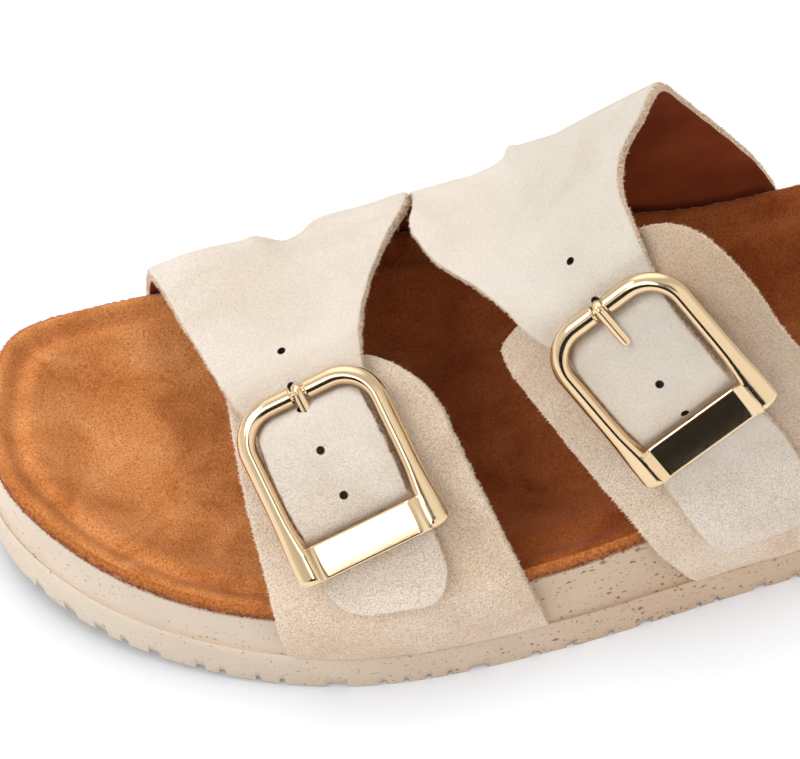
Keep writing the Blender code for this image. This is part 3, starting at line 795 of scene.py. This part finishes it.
# Flecks (cell size in millimetres, largest radius as a share of it, share left at the toe, colour)
FLECKS = (
    (0.8, 0.34, 0.8, "9A7656"),
    (1.3, 0.34, 0.6, "8A623F"),
    (2.2, 0.3, 0.15, "8A5F3D"),
    (3.6, 0.25, 0.0, "96683F"),
)
FLECK_CHANCE = 0.22
FLECK_THINNING = (0.01, 0.075)
FLECK_WARP_SIZE = 1.1
FLECK_WARP = (0.0024, 0.0016, 0.0016)


class Nodes:
    """Short ways to add nodes to a tree."""

    def __init__(self, tree):
        self.tree = tree

    def feed(self, target, source):
        """Link a source to an input, or give the input a value."""
        if isinstance(source, bpy.types.NodeSocket):
            self.tree.links.new(source, target)
        else:
            target.default_value = source

    def node(self, kind, inputs=(), **settings):
        """New node with its settings, and its inputs fed by name or number."""
        made = self.tree.nodes.new(kind)
        for key, value in settings.items():
            setattr(made, key, value)
        for key, source in dict(inputs).items():
            self.feed(made.inputs[key], source)
        return made

    def maths(self, operation, *sources):
        return self.node("ShaderNodeMath", enumerate(sources), operation=operation).outputs[0]

    def rescale(self, source, low, high, to_low=0.0, to_high=1.0, **settings):
        made = self.node("ShaderNodeMapRange", {
            "Value": source, "From Min": low, "From Max": high, "To Min": to_low, "To Max": to_high,
        }, **settings)
        return made.outputs[0]


class Paint(Nodes):
    """A Principled material and its textures."""

    def __init__(self, name, **values):
        self.material = bpy.data.materials.new(name)
        self.material.use_nodes = True
        super().__init__(self.material.node_tree)
        self.shader = self.tree.nodes["Principled BSDF"].inputs
        for key, value in values.items():
            self.feed(self.shader[key.replace("_", " ")], value)
        self.place = self.node("ShaderNodeTexCoord").outputs["Object"]

    def noise(self, size, detail=2.0, roughness=0.5, distortion=0.0, output="Fac"):
        """Noise with features of about the given size in millimetres."""
        made = self.node("ShaderNodeTexNoise", {
            "Vector": self.place, "Scale": 1.0 / (size * MM), "Detail": detail,
            "Roughness": roughness, "Distortion": distortion,
        })
        return made.outputs[output]

    def ramp(self, source, *stops):
        made = self.node("ShaderNodeValToRGB", {"Fac": source})
        ramp = made.color_ramp
        while len(ramp.elements) < len(stops):
            ramp.elements.new(0.5)
        for element, (place, colour) in zip(ramp.elements, stops):
            element.position = place
            element.color = ((colour,) * 3 if isinstance(colour, float) else tuple(colour)) + (1.0,)
        return made.outputs["Color"]

    def axis(self, name):
        """Place along one axis, in metres."""
        return self.node("ShaderNodeSeparateXYZ", {0: self.place}).outputs[name]

    def along_shoe(self, wander, tones):
        """Tint by the place along the shoe, with an edge that wanders."""
        place = self.maths("MULTIPLY_ADD", wander, TINT_WANDER, self.axis("X"))
        start = TINT_REACH + TINT_WANDER / 2.0
        stops = [((x + start) / (2.0 * TINT_REACH), tint) for x, tint in tones]
        return self.ramp(self.rescale(place, -TINT_REACH, TINT_REACH), *stops)

    def mix(self, factor, first, second, blend="MULTIPLY"):
        made = self.node("ShaderNodeMix", {0: factor, 6: first, 7: second}, data_type="RGBA",
                         blend_type=blend)
        return made.outputs[2]

    def finish(self, colour=None, height=None, depth=0.1, strength=1.0, roughness=None):
        normal = None
        if height is not None:
            bump = {"Height": height, "Strength": strength, "Distance": depth * MM}
            normal = self.node("ShaderNodeBump", bump).outputs["Normal"]
        for name, source in (("Base Color", colour), ("Normal", normal), ("Roughness", roughness)):
            if source is not None:
                self.feed(self.shader[name], source)
        return self.material


def shade(code):
    """Linear colour of a hex code."""
    parts = [int(code[k:k + 2], 16) / 255.0 for k in (0, 2, 4)]
    return tuple(v / 12.92 if v <= 0.04045 else ((v + 0.055) / 1.055) ** 2.4 for v in parts)


def suede(name, tones, grain, blotch, contrast, specks, sheen, calm=1.0, light_shade_heights=None, along=None):
    """Napped leather: brushed blotches, fine grain that calms towards the top, velvet sheen."""
    paint = Paint(name, Roughness=0.92, Sheen_Weight=sheen, Sheen_Roughness=0.5,
                  Specular_IOR_Level=0.12)
    broad = paint.noise(blotch, detail=3.0, roughness=0.6, distortion=0.6)
    dark, mid, light = (shade(code) for code in tones)
    tone = paint.ramp(broad, (0.5 - contrast, dark), (0.5, mid), (0.5 + contrast, light))
    fine = paint.noise(grain, detail=3.0, roughness=0.78)
    deep, bright = specks
    grains = paint.ramp(fine, (0.28, shade(deep)), (0.5, 1.0), (0.72, bright))
    height = paint.axis("Z")
    fade = paint.rescale(height, *CALM_HEIGHTS, 1.0, calm)
    colour = paint.mix(fade, tone, grains)
    # Tint along the shoe; on the footbed this is painted shade towards the heel
    if along:
        colour = paint.mix(1.0, colour, paint.along_shoe(broad, along))
    # Painted light low down and painted shade higher up, by height
    if light_shade_heights:
        colour = paint.mix(1.0, colour, paint.ramp(height, *light_shade_heights))
    nap = paint.noise(grain * NAP_SIZE, detail=2.0, roughness=0.6)
    rough = paint.maths("MULTIPLY_ADD", nap, 0.7, fine)
    return paint.finish(colour, rough, depth=0.5, strength=0.9)


def raw_edge(name, light, dark):
    paint = Paint(name, Roughness=0.95, Specular_IOR_Level=0.1, Sheen_Weight=0.2)
    fine = paint.noise(0.6, detail=3.0, roughness=0.7)
    colour = paint.ramp(fine, (0.34, shade(dark)), (0.62, shade(light)))
    return paint.finish(colour, fine, depth=0.3, strength=0.8)


def lining_leather():
    paint = Paint("brown_lining", Roughness=0.55, Specular_IOR_Level=0.35)
    broad = paint.noise(12.0, detail=3.0)
    tone = paint.ramp(broad, (0.35, shade("7A3317")), (0.65, shade("934623")))
    return paint.finish(tone, paint.noise(0.7), depth=0.06, strength=0.5)


def foam():
    """Moulded foam with a fine skin and brown flecks."""
    paint = Paint("flecked_foam", Roughness=0.78, Specular_IOR_Level=0.25)
    broad = paint.noise(18.0)
    colour = paint.ramp(broad, (0.35, shade("DACAB8")), (0.65, shade("E0D1C0")))
    # Painted shade: the foam darkens towards the heel
    colour = paint.mix(1.0, colour, paint.along_shoe(broad, FOAM_SHADE_TONE))
    warp = paint.noise(FLECK_WARP_SIZE, detail=3.0, roughness=0.65, output="Color")
    shift = paint.node("ShaderNodeVectorMath", {0: warp, 1: FLECK_WARP, 2: paint.place},
                       operation="MULTIPLY_ADD").outputs[0]
    for size, reach, toe_share, brown in FLECKS:
        cells = paint.node("ShaderNodeTexVoronoi", {"Vector": shift, "Scale": 1.0 / (size * MM)})
        split = paint.node("ShaderNodeSeparateColor", {0: cells.outputs["Color"]})
        chance = paint.rescale(split.outputs[0], FLECK_CHANCE, 1.0, 0.0, reach)
        share = paint.along_shoe(broad, zip(FLECK_THINNING, (1.0, toe_share)))
        radius = paint.maths("MULTIPLY", chance, share)
        inside = paint.maths("SUBTRACT", radius, cells.outputs["Distance"])
        mask = paint.ramp(inside, (0.0, 0.0), (0.05, 0.85))
        colour = paint.mix(mask, colour, (*shade(brown), 1.0), "MIX")
    skin = paint.noise(0.5, detail=2.0, roughness=0.6)
    return paint.finish(colour, skin, depth=0.05, strength=0.5)


def gold():
    paint = Paint("light_gold", Base_Color=(*shade("E8CBA3"), 1.0), Metallic=1.0)
    fine = paint.noise(0.3)
    rough = paint.ramp(fine, (0.35, 0.09), (0.7, 0.2))
    waves = paint.maths("MULTIPLY_ADD", fine, 0.2, paint.noise(5.0, detail=1.0))
    return paint.finish(None, waves, depth=0.05, strength=0.3, roughness=rough)


CREAM = suede("cream_suede", ("E6D5C2", "EEDFCE", "F2E5D6"), grain=0.33, blotch=26.0, contrast=0.16,
              specks=("C4A88B", 1.34), sheen=0.2, calm=0.28, light_shade_heights=LONG_LIGHT_SHADE)
# Base pieces: a deeper, warmer cream, partly their own tone and partly painted warm shade
CREAM_DEEP = suede("cream_suede_deep", ("E1C8AD", "EAD4BC", "F0DDC8"), grain=0.34, blotch=22.0,
                   contrast=0.16, specks=("C2A486", 1.34), sheen=0.2, calm=0.8, light_shade_heights=BASE_LIGHT_SHADE)
CARAMEL = suede("caramel_suede", ("C4753A", "DD8E50", "EA9F63"), grain=0.42, blotch=12.0,
                contrast=0.2, specks=("BA9C84", 1.34), sheen=0.04, along=HEEL_SHADE_TONE)
CREAM_EDGE = raw_edge("cream_raw_edge", "DFC3A2", "B08A63")
CREAM_FIBRE = raw_edge("cream_fibre", "F0DFCB", "D9BD9C")
CARAMEL_EDGE = raw_edge("caramel_raw_edge", "CB7C3E", "96501F")
RUST_EDGE = raw_edge("rust_raw_edge", "B86A32", "7E4020")
# Hole walls: painted shade, near black, inside the punched holes
HOLE_SHADE = raw_edge("hole_painted_shade", "3A2012", "160B06")
LINING = lining_leather()
FOAM = foam()
GOLD = gold()


# Straps

def wander(count):
    """Smooth random run along a raw edge."""
    kernel, spare, own_spread = (0.25, 0.5, 0.25), 4, 0.61
    raw = np.convolve(rng.normal(size=count + 2 * spare), kernel, "same")
    return EDGE_WANDER * raw[spare:-spare] / own_spread


def strap_sheet(name):
    """Fine sheet over the last: suede on top, lining below, raw edge between."""
    side = name.split("_")[0]
    is_long = name in HOLES
    radii, count, columns = STRAP_SHAPE[name]
    rows, left = strap_rows(STRAPS[name], radii, count)
    front, rear = rows[:, None, :2], rows[:, None, 2:]
    width = row_widths(rows)[:, None]
    left = left[:, None]
    steps = EDGE_STEPS / width
    inner = np.linspace(0.0, 1.0, columns)[None, 1:-1]
    inner = steps[:, -1:] + (1.0 - 2.0 * steps[:, -1:]) * inner
    w = np.hstack([steps, inner, 1.0 - steps[:, ::-1]])
    spread = front + (rear - front) * w[..., None]
    x, share = spread[..., 0], spread[..., 1]
    way = share * girth(x)
    base = last_at(x, share)
    normals = grid_normals(base)
    lift = layer_lift(side, x, share) if is_long else np.zeros_like(x)
    over = base + normals * (lift + STRAP_THICKNESS)[..., None]
    if is_long:
        over = seat_strap(side, over)
    normals = grid_normals(over)
    along, across = unit(np.gradient(over, axis=0)), unit(np.gradient(over, axis=1))
    steady = int((left > EDGE_STEPS[-1]).sum()) - 1
    normals[steady:], along[steady:] = normals[steady], along[steady]
    for outwards, gap, run in ((-across, w * width, wander(len(w))[:, None]),
                               (across, (1.0 - w) * width, wander(len(w))[:, None]),
                               (along, left + 0.0 * w, wander(w.shape[1])[None])):
        over = over + outwards * (run * np.maximum(1.0 - gap / EDGE_STEPS[-1], 0.0))[..., None]
    under = over - normals * STRAP_THICKNESS
    margin = np.minimum(np.minimum(w, 1.0 - w) * width, np.broadcast_to(left, w.shape))
    drop = EDGE_SOFT * (1.0 - np.sqrt(1.0 - (1.0 - np.minimum(margin / EDGE_SOFT, 1.0)) ** 2))
    skive = SKIVE * (1.0 - smoothstep(way / SKIVE_RUN))
    over = over - normals * (EDGE_DROP * drop + skive)[..., None]
    return {"x": x, "way": way, "under": under, "over": over, "normals": normals}


def build_strap(name, sheet):
    over, under = sheet["over"], sheet["under"]
    rows, columns = over.shape[:2]
    size = rows * columns
    edge = border(rows, columns)
    r, c = edge // columns, edge % columns
    top, bottom = over[r, c], under[r, c]
    down, across = EDGE_INSIDE
    inside = over[np.clip(r, down, rows - 1 - down), np.clip(c, across, columns - 1 - across)]
    outward = unit(top - inside)
    points = [over.reshape(-1, 3), under.reshape(-1, 3)]
    faces = grid_faces(rows, columns, 0, False) + grid_faces(rows, columns, size, True)
    slots = [0] * (len(faces) // 2) + [1] * (len(faces) // 2)
    loops = [edge]
    for share in EDGE_LOOPS:
        jitter = rng.normal(scale=EDGE_ROUGH, size=(len(edge), 1)) * (r > 0)[:, None]
        points.append(top * (1 - share) + bottom * share + outward * jitter)
        loops.append(2 * size + (len(loops) - 1) * len(edge) + np.arange(len(edge)))
    loops.append(size + edge)
    for near, far in zip(loops, loops[1:]):
        band = band_faces(far, near)
        faces += band
        slots += [2] * len(band)
    face = CREAM_DEEP if name.endswith("base") else CREAM
    materials = [face, LINING, CREAM_EDGE] + [HOLE_SHADE] * (name in HOLES)
    obj = mesh_object(name + "_suede", np.vstack(points), faces, materials, slots, STRAP_SHARP)
    face_outwards(obj)
    punch_holes(obj, name, sheet)
    dress(obj, name)
    lengths = np.linalg.norm(np.diff(top, axis=0), axis=1)
    count = int(lengths.sum() * FRINGE_PER_MM)
    pick = rng.choice(len(lengths), count, p=lengths / lengths.sum())
    slide = rng.random((count, 1))
    depth = rng.random((count, 1)) * FRINGE_DEPTH
    tops = top[pick] * (1 - slide) + top[pick + 1] * slide
    bottoms = bottom[pick] * (1 - slide) + bottom[pick + 1] * slide
    roots = tops * (1 - depth) + bottoms * depth
    add_fringe(name + "_fringe", name, roots, outward[pick], sheet["normals"][r, c][pick],
               FRINGE_LENGTH, FRINGE_GIRTH, CREAM_FIBRE)


def hole_place(sheet, x, s):
    """Point of a hole on the sheet, and the direction that it is punched in."""
    gap = (sheet["x"] - x) ** 2 + (sheet["way"] - s) ** 2
    row, column = np.unravel_index(gap.argmin(), gap.shape)
    around = sheet["normals"][max(row - HOLE_ROWS, 0):row + HOLE_ROWS + 1,
                              max(column - HOLE_COLUMNS, 0):column + HOLE_COLUMNS + 1]
    return sheet["over"][row, column], unit(around.sum((0, 1)))


def punch_holes(obj, name, sheet):
    """Cut the holes of a long strap; their walls take its last material, a painted near-black shade.
    """
    if name not in HOLES:
        return
    mesh = bmesh.new()
    radius = HOLE_RADIUS * MM
    for x, s in HOLES[name]:
        point, normal = hole_place(sheet, x, s)
        turn = Vector(normal).to_track_quat("Z", "Y").to_matrix().to_4x4()
        place = Matrix.Translation(to_metres(point)) @ turn
        bmesh.ops.create_cone(mesh, cap_ends=True, segments=HOLE_SIDES, radius1=radius,
                              radius2=radius, depth=HOLE_DEPTH * MM, matrix=place)
    data = bpy.data.meshes.new("punch")
    mesh.to_mesh(data)
    mesh.free()
    for material in obj.data.materials:
        data.materials.append(material)
    last = len(data.materials) - 1
    data.polygons.foreach_set("material_index", [last] * len(data.polygons))
    apply_boolean(obj, placed("punch", data), "DIFFERENCE")


for strap in STRAPS:
    build_strap(strap, strap_sheet(strap))


# Sole

def foot_marks(x, y):
    return sum(height * np.exp(-((x - px) / length) ** 2 - ((y - py) / width) ** 2)
               for px, py, length, width, height in FOOT_MARKS)


def footbed_ring(edge, share, drop, fine):
    """Ring of the footbed inside an edge; the fine one has the groove, the lip and the dents."""
    ring = shrunk_ring(edge, share)
    inset = np.linalg.norm(ring - edge, axis=1)
    x = ring[:, 0]
    rim = rim_z(x, edge[:, 1])
    height = rim + (bed_z(x) - rim) * smoothstep((inset - LIP_WIDTH) / LIP_SLOPE) - drop
    if fine:
        for middle, half, rise in BED_RELIEF:
            height = height + rise * np.exp(-((inset - middle) / half) ** 2)
        fade = smoothstep((inset - MARKS_FROM) / MARKS_FROM)
        height = height + foot_marks(x, ring[:, 1]) * fade
    return raised(ring, height)


def build_insole():
    edge = outline_ring(RIM_INSET, FINE_AROUND)
    rim = rim_z(edge[:, 0], edge[:, 1])
    outward = unit(edge - outline_ring(RIM_INSET + 1.0, FINE_AROUND))
    rings = [footbed_ring(edge, share, INSOLE_THICKNESS, False) for share in BED_UNDER_SHARES]
    slots = [2] * (len(rings) - 1)
    for depth, out in RIM_PROFILE:
        rough = rng.normal(scale=RIM_ROUGH, size=(FINE_AROUND, 2))
        rings.append(raised(edge + outward * (out + rough[:, :1]), rim - depth + rough[:, 1]))
        slots.append(2 if depth > RIM_RUST_FROM else 1)
    for share in BED_SHARES:
        rings.append(footbed_ring(edge, share, 0.0, True))
        slots.append(1 if share < BED_EDGE_SHARE else 0)
    insole = lofted("insole_suede", rings, [CARAMEL, CARAMEL_EDGE, RUST_EDGE], slots)
    dress(insole, "insole")
    pick = rng.integers(0, FINE_AROUND, RIM_FIBRES)
    slide = rng.random((RIM_FIBRES, 1))
    at = edge[pick] * (1 - slide) + np.roll(edge, -1, axis=0)[pick] * slide
    depth = RIM_FIBRE_FROM + RIM_FIBRE_SPAN * rng.random(RIM_FIBRES)
    height = rim_z(at[:, 0], at[:, 1]) - depth
    flat = np.column_stack([outward[pick], np.full(RIM_FIBRES, RIM_FIBRE_HANG)])
    up = np.broadcast_to(UP, (RIM_FIBRES, 3))
    roots = np.column_stack([at + RIM_FIBRE_OUT * outward[pick], height])
    for part, chosen, material in (("upper", depth < RIM_FIBRE_RUST, CARAMEL_EDGE),
                                   ("lower", depth >= RIM_FIBRE_RUST, RUST_EDGE)):
        add_fringe("insole_fringe_" + part, "insole", roots[chosen], flat[chosen], up[chosen],
                   RIM_FIBRE_LENGTH, RIM_FIBRE_GIRTH, material)


def build_midsole():
    foot, wall = outline_ring(LEDGE_INSET), outline_ring(RIM_INSET)
    low = ledge_z(foot[:, 0]) + FIT_GAP
    high = rim_z(wall[:, 0], wall[:, 1]) - INSOLE_THICKNESS - FIT_GAP
    rise = high - low - 2.0 * MIDSOLE_EASE
    rings = [raised(shrunk_ring(foot, MIDDLE_SHARE), low)]
    for flare, height in MIDSOLE_COVE:
        rings.append(raised(outline_ring(LEDGE_INSET - flare), low + height))
    for t in MIDSOLE_WALL:
        rings.append(raised(foot + (wall - foot) * t, low + MIDSOLE_EASE + rise * t))
    rings.append(raised(outline_ring(RIM_INSET + MIDSOLE_ROUND), high))
    for share in MIDSOLE_SHARES:
        rings.append(footbed_ring(wall, share, INSOLE_THICKNESS + FIT_GAP, False))
    dress(lofted("midsole_foam", rings, [FOAM]), "midsole")


def groove_cutter():
    """Bars across the shoe, chamfered at the top, that cut the tread."""
    points, faces = [], []
    for station, width in GROOVES:
        slope = (floor_z(station + 1.0) - floor_z(station - 1.0)) / 2.0
        half, top = 0.5 * width, GROOVE_DEPTH
        near, neck = GROOVE_CHAMFER * half, GROOVE_CHAMFER * top
        section = ((-half, GROOVE_BELOW), (half, GROOVE_BELOW), (half, neck), (near, top),
                   (-near, top), (-half, neck))
        count = len(section)
        first = len(points) + np.arange(count)
        for y in GROOVE_ENDS:
            points += [(station + dx, y, floor_z(station) + slope * dx + dz) for dx, dz in section]
        faces += band_faces(first, first + count)
        faces += [first[::-1].tolist(), (first + count).tolist()]
    return face_outwards(mesh_object("grooves", np.array(points), faces, [FOAM]))


def build_outsole():
    tread = outline_ring(OUTSOLE_PROFILE[0][0])
    rings = [raised(shrunk_ring(tread, MIDDLE_SHARE), floor_z(tread[:, 0]))]
    for inset, height in OUTSOLE_PROFILE:
        ring = outline_ring(inset)
        rings.append(raised(ring, floor_z(ring[:, 0]) + height))
    inset, height = OUTSOLE_PROFILE[-1]
    middle = shrunk_ring(outline_ring(inset), MIDDLE_SHARE)
    rings.append(raised(middle, floor_z(middle[:, 0]) + height))
    outsole = lofted("outsole_foam", rings, [FOAM])
    apply_boolean(outsole, groove_cutter(), "DIFFERENCE")
    dress(outsole, "outsole")


build_outsole()
build_midsole()
build_insole()


# Buckles

def swept(path, inner, outer, half_height, slope):
    """Rings of a section with two half widths along a level path; the slope, from 0 to 1, flattens
    its outer upper side."""
    tangent = unit(np.gradient(path, axis=0))
    side = unit(np.cross(tangent, UP))
    above = np.cross(side, tangent)
    angles = np.linspace(0.0, 2.0 * math.pi, ROD_SIDES, endpoint=False)
    across, over = np.cos(angles)[None], np.sin(angles)[None]
    power = np.where((across < 0.0) & (over > 0.0), 1.0 + slope[:, None] / 3.0, 1.0)
    width = np.where(across > 0.0, inner[:, None], outer[:, None])
    a = width * np.sign(across) * np.abs(across) ** power
    b = half_height[:, None] * np.sign(over) * np.abs(over) ** power
    return path[:, None] + a[..., None] * side[:, None] + b[..., None] * above[:, None]


def tube(name, rings, side):
    """Closed gold tube through rings given in a buckle's own frame."""
    turn, centre = PLACES[side]
    levels, count = rings.shape[:2]
    faces = ring_faces(levels, count)
    faces += [list(range(count))[::-1], [(levels - 1) * count + k for k in range(count)]]
    points = rings.reshape(-1, 3) @ turn.T + centre
    return face_outwards(mesh_object(name, points, faces, [GOLD], None, ROD_SHARP))


def frame_rings():
    """Cast bar from one lower end round the top to the other, necked in the middle; the rails are
    crested near their inner side and widen outwards to the plate."""
    half, top = FRAME_HALF - RAIL_OUT, BUCKLE_REACH / 2.0
    low = -top - PLATE_WIDTH / 2.0
    ends = [EAR_ROUND * (1.0 - math.cos(a)) for a in np.linspace(0.0, 0.5 * math.pi, EAR_STEPS)]
    path = [(-rail_middle(low + way)[0], low + way, 0.0) for way in (*ends, *RAIL_STATIONS)]
    for a in np.linspace(math.pi, 0.5 * math.pi, CORNER_TURN):
        path.append((-half + CORNER_RADIUS * (1.0 + math.cos(a)),
                     top - CORNER_RADIUS * (1.0 - math.sin(a)), 2.0 - 2.0 * a / math.pi))
    path += [(x, top, 1.0) for x in BAR_STATIONS]
    path = np.array(path + [(-x, y, turn) for x, y, turn in reversed(path)])
    x, y, turn = path.T
    turn = smoothstep(turn)
    neck = np.where(y > 0.0, np.interp(np.abs(x), *zip(*NECK)), 1.0)
    rounding = 1.0 - np.maximum(1.0 - (y - low) / EAR_ROUND, 0.0) ** 2
    end = np.sqrt(np.maximum(rounding, EAR_TIP)) * neck
    inner = (RAIL_IN + (ROD_RADIUS - RAIL_IN) * turn) * end
    outer = (rail_middle(y)[1] * (1.0 - turn) + ROD_RADIUS * turn) * end
    high = ROD_RADIUS * (1.0 + EAR_RISE * rail_flare(y)) * end
    path = np.column_stack([x, y, np.full(len(x), ROD_LEVEL)])
    return swept(path, inner, outer, high, 1.0 - turn)


def plate_rings():
    """Flat plate between the rails; its ends sweep up to their crests."""
    rings = []
    middle, edge = -BUCKLE_REACH / 2.0, PLATE_EDGE
    half = PLATE_WIDTH / 2.0 - PLATE_SPARE - edge
    crest = ROD_LEVEL + (1.0 + EAR_RISE) * ROD_RADIUS - PLATE_SUNK
    reach = rail_middle(middle)[0]
    for x in np.linspace(-reach - PLATE_OVER, reach + PLATE_OVER, PLATE_STEPS):
        past = abs(x) - reach
        sweep = PLATE_SWEEPS[0] if x < 0.0 else PLATE_SWEEPS[1]
        lift = (crest - PLATE_TOP) * smoothstep((past + PLATE_OVER) / sweep + 1.0)
        tuck = PLATE_TUCK * smoothstep(past / PLATE_TUCK_RUN + 1.0)
        low, high = PLATE_LOW + PLATE_LOW_RISE * lift + edge, PLATE_TOP + lift - edge
        corners = []
        for y, z, begin in ((half, high, 0.0), (tuck - half, high, 0.5), (tuck - half, low, 1.0),
                            (half, low, 1.5)):
            for a in np.linspace(begin, begin + 0.5, PLATE_CORNER_STEPS) * math.pi:
                corners.append((x, middle + y + edge * math.cos(a), z + edge * math.sin(a)))
        rings.append(corners)
    return np.array(rings)


def prong_rings(side):
    """Flat-topped pin: bent round the bar's neck, then straight down to the strap."""
    top, start = BUCKLE_REACH / 2.0, ROD_LEVEL + PRONG_LOOP
    length, tip = BUCKLES[side]["prong"], BUCKLES[side]["tip"]
    path = [(0.0, top + PRONG_LOOP * math.cos(a), ROD_LEVEL + PRONG_LOOP * math.sin(a))
            for a in PRONG_BEND]
    path += [(0.0, top - length * t, start + (tip - start) * t) for t in PRONG_STATIONS]
    path = np.array(path)
    shrink = np.ones(len(path))
    shrink[-len(PRONG_TIP):] = PRONG_TIP
    tangent = unit(np.gradient(path, axis=0))
    above = np.cross(tangent, (1.0, 0.0, 0.0))
    above *= np.sign(above[-len(PRONG_TIP) - 1, 2])
    rings = []
    for point, up, share in zip(path, above, shrink):
        rings.append([point + share * (np.array([x, 0.0, 0.0]) + up * z) for x, z in PRONG_SECTION])
    return np.array(rings)


for side in BUCKLES:
    buckle = tube(side + "_buckle_gold", frame_rings(), side)
    apply_boolean(buckle, tube(side + "_plate", plate_rings(), side), "UNION")
    buckle.data.set_sharp_from_angle(angle=math.radians(BUCKLE_SHARP))
    dress(buckle, side + "_buckle")
    dress(tube(side + "_prong_gold", prong_rings(side), side), side + "_buckle_prong")


# Floor, light and camera

# Areas of the studio (azimuth, elevation, full within, gone beyond, brightness) over its level
STUDIO_LEVEL = 0.71
STUDIO = (
    (-90.0, 50.0, 14.0, 38.0, 1.7),
    (135.0, 30.0, 22.0, 44.0, 1.1),
    (0.0, 12.0, 12.0, 32.0, 0.9),
    (77.0, 13.0, 25.0, 33.0, 0.02),
    (76.0, 30.0, 10.0, 16.0, 0.03),
    (81.0, 41.0, 8.0, 14.0, 0.05),
    (88.0, 58.0, 6.0, 13.0, 0.25),
    (118.0, 55.0, 5.0, 11.0, 0.15),
    (22.0, 50.0, 4.0, 9.0, 0.15),
    (56.0, 50.0, 13.0, 18.0, 3.0),
)

# Half the floor's side in metres, and its tones
FLOOR_HALF = 6.0
FLOOR_TONES = ((0.3, (0.79, 0.815, 0.845)), (0.7, (0.81, 0.835, 0.865)))

# Camera on the shoe (millimetres), and its focal length in widths of the picture
EYE = (244.08, 423.53, 653.82)
AIM = (167.15, -4.59, 30.0)
FOCAL_WIDTHS = 3793.24 / 800.0


def area_light(name, place, aim, size, power, colour=(1.0, 1.0, 1.0)):
    data = bpy.data.lights.new(name, "AREA")
    data.shape = "RECTANGLE"
    data.size, data.size_y = size
    data.energy = power
    data.color = colour
    obj = placed(name, data)
    obj.location = place
    obj.rotation_euler = (Vector(aim) - Vector(place)).to_track_quat("-Z", "Y").to_euler()
    return obj


def build_floor():
    data = bpy.data.meshes.new("floor")
    corners = ((-1, -1), (1, -1), (1, 1), (-1, 1))
    data.from_pydata([(FLOOR_HALF * x, FLOOR_HALF * y, 0.0) for x, y in corners], [], [(0, 1, 2, 3)])
    paint = Paint("white_floor", Roughness=0.9, Specular_IOR_Level=0.1)
    data.materials.append(paint.finish(paint.ramp(paint.noise(400.0), *FLOOR_TONES)))
    floor = placed("floor", data)
    return floor


def build_world():
    """Pale studio with soft-edged bright and dark areas in fixed directions."""
    world = bpy.data.worlds.new("studio")
    world.use_nodes = True
    nodes = Nodes(world.node_tree)
    way = nodes.node("ShaderNodeTexCoord").outputs["Generated"]
    tone = STUDIO_LEVEL
    for *angles, level in STUDIO:
        az, el, inner, outer = (math.radians(angle) for angle in angles)
        flat = math.cos(el)
        middle = (math.cos(az) * flat, math.sin(az) * flat, math.sin(el))
        dot = nodes.node("ShaderNodeVectorMath", {0: way, 1: middle}, operation="DOT_PRODUCT")
        area = nodes.rescale(dot.outputs["Value"], math.cos(outer), math.cos(inner),
                             interpolation_type="SMOOTHSTEP")
        tone = nodes.node("ShaderNodeMix", {0: area, 2: tone, 3: level}).outputs[0]
    nodes.feed(world.node_tree.nodes["Background"].inputs["Color"], tone)
    bpy.context.scene.world = world


def build_camera():
    eye, aim = to_metres(EYE), to_metres(AIM)
    data = bpy.data.cameras.new("camera")
    data.sensor_width = 36.0
    data.lens = FOCAL_WIDTHS * data.sensor_width
    data.clip_start, data.clip_end = 0.01, 50.0
    camera = placed("camera", data)
    ahead = Vector(aim - eye).normalized()
    right = ahead.cross(Vector(UP)).normalized()
    turn = Matrix((right, right.cross(ahead), -ahead)).transposed().to_4x4()
    camera.matrix_world = Matrix.Translation(eye) @ turn
    bpy.context.scene.camera = camera


def floor_group(name, floor):
    """Collection of the floor alone, for a light to take up or to leave out."""
    group = bpy.data.collections.new(name)
    group.objects.link(floor)
    return group


floor = build_floor()
build_world()
build_camera()
key = area_light("key", place=(1.1, -0.05, 1.15), aim=(0.03, 0.0, 0.03), size=(0.7, 0.7), power=10.5,
                 colour=(0.95, 1.0, 1.05))
backdrop = area_light("backdrop", place=(0.0, 0.2, 2.2), aim=(0.0, 0.2, 0.0), size=(2.4, 2.4),
                      power=33.5)
backdrop.light_linking.receiver_collection = floor_group("lit_by_backdrop", floor)
unlit = floor_group("unlit_by_key", floor)
unlit.collection_objects[0].light_linking.link_state = "EXCLUDE"
key.light_linking.receiver_collection = unlit
bpy.context.scene.view_settings.view_transform = "Standard"
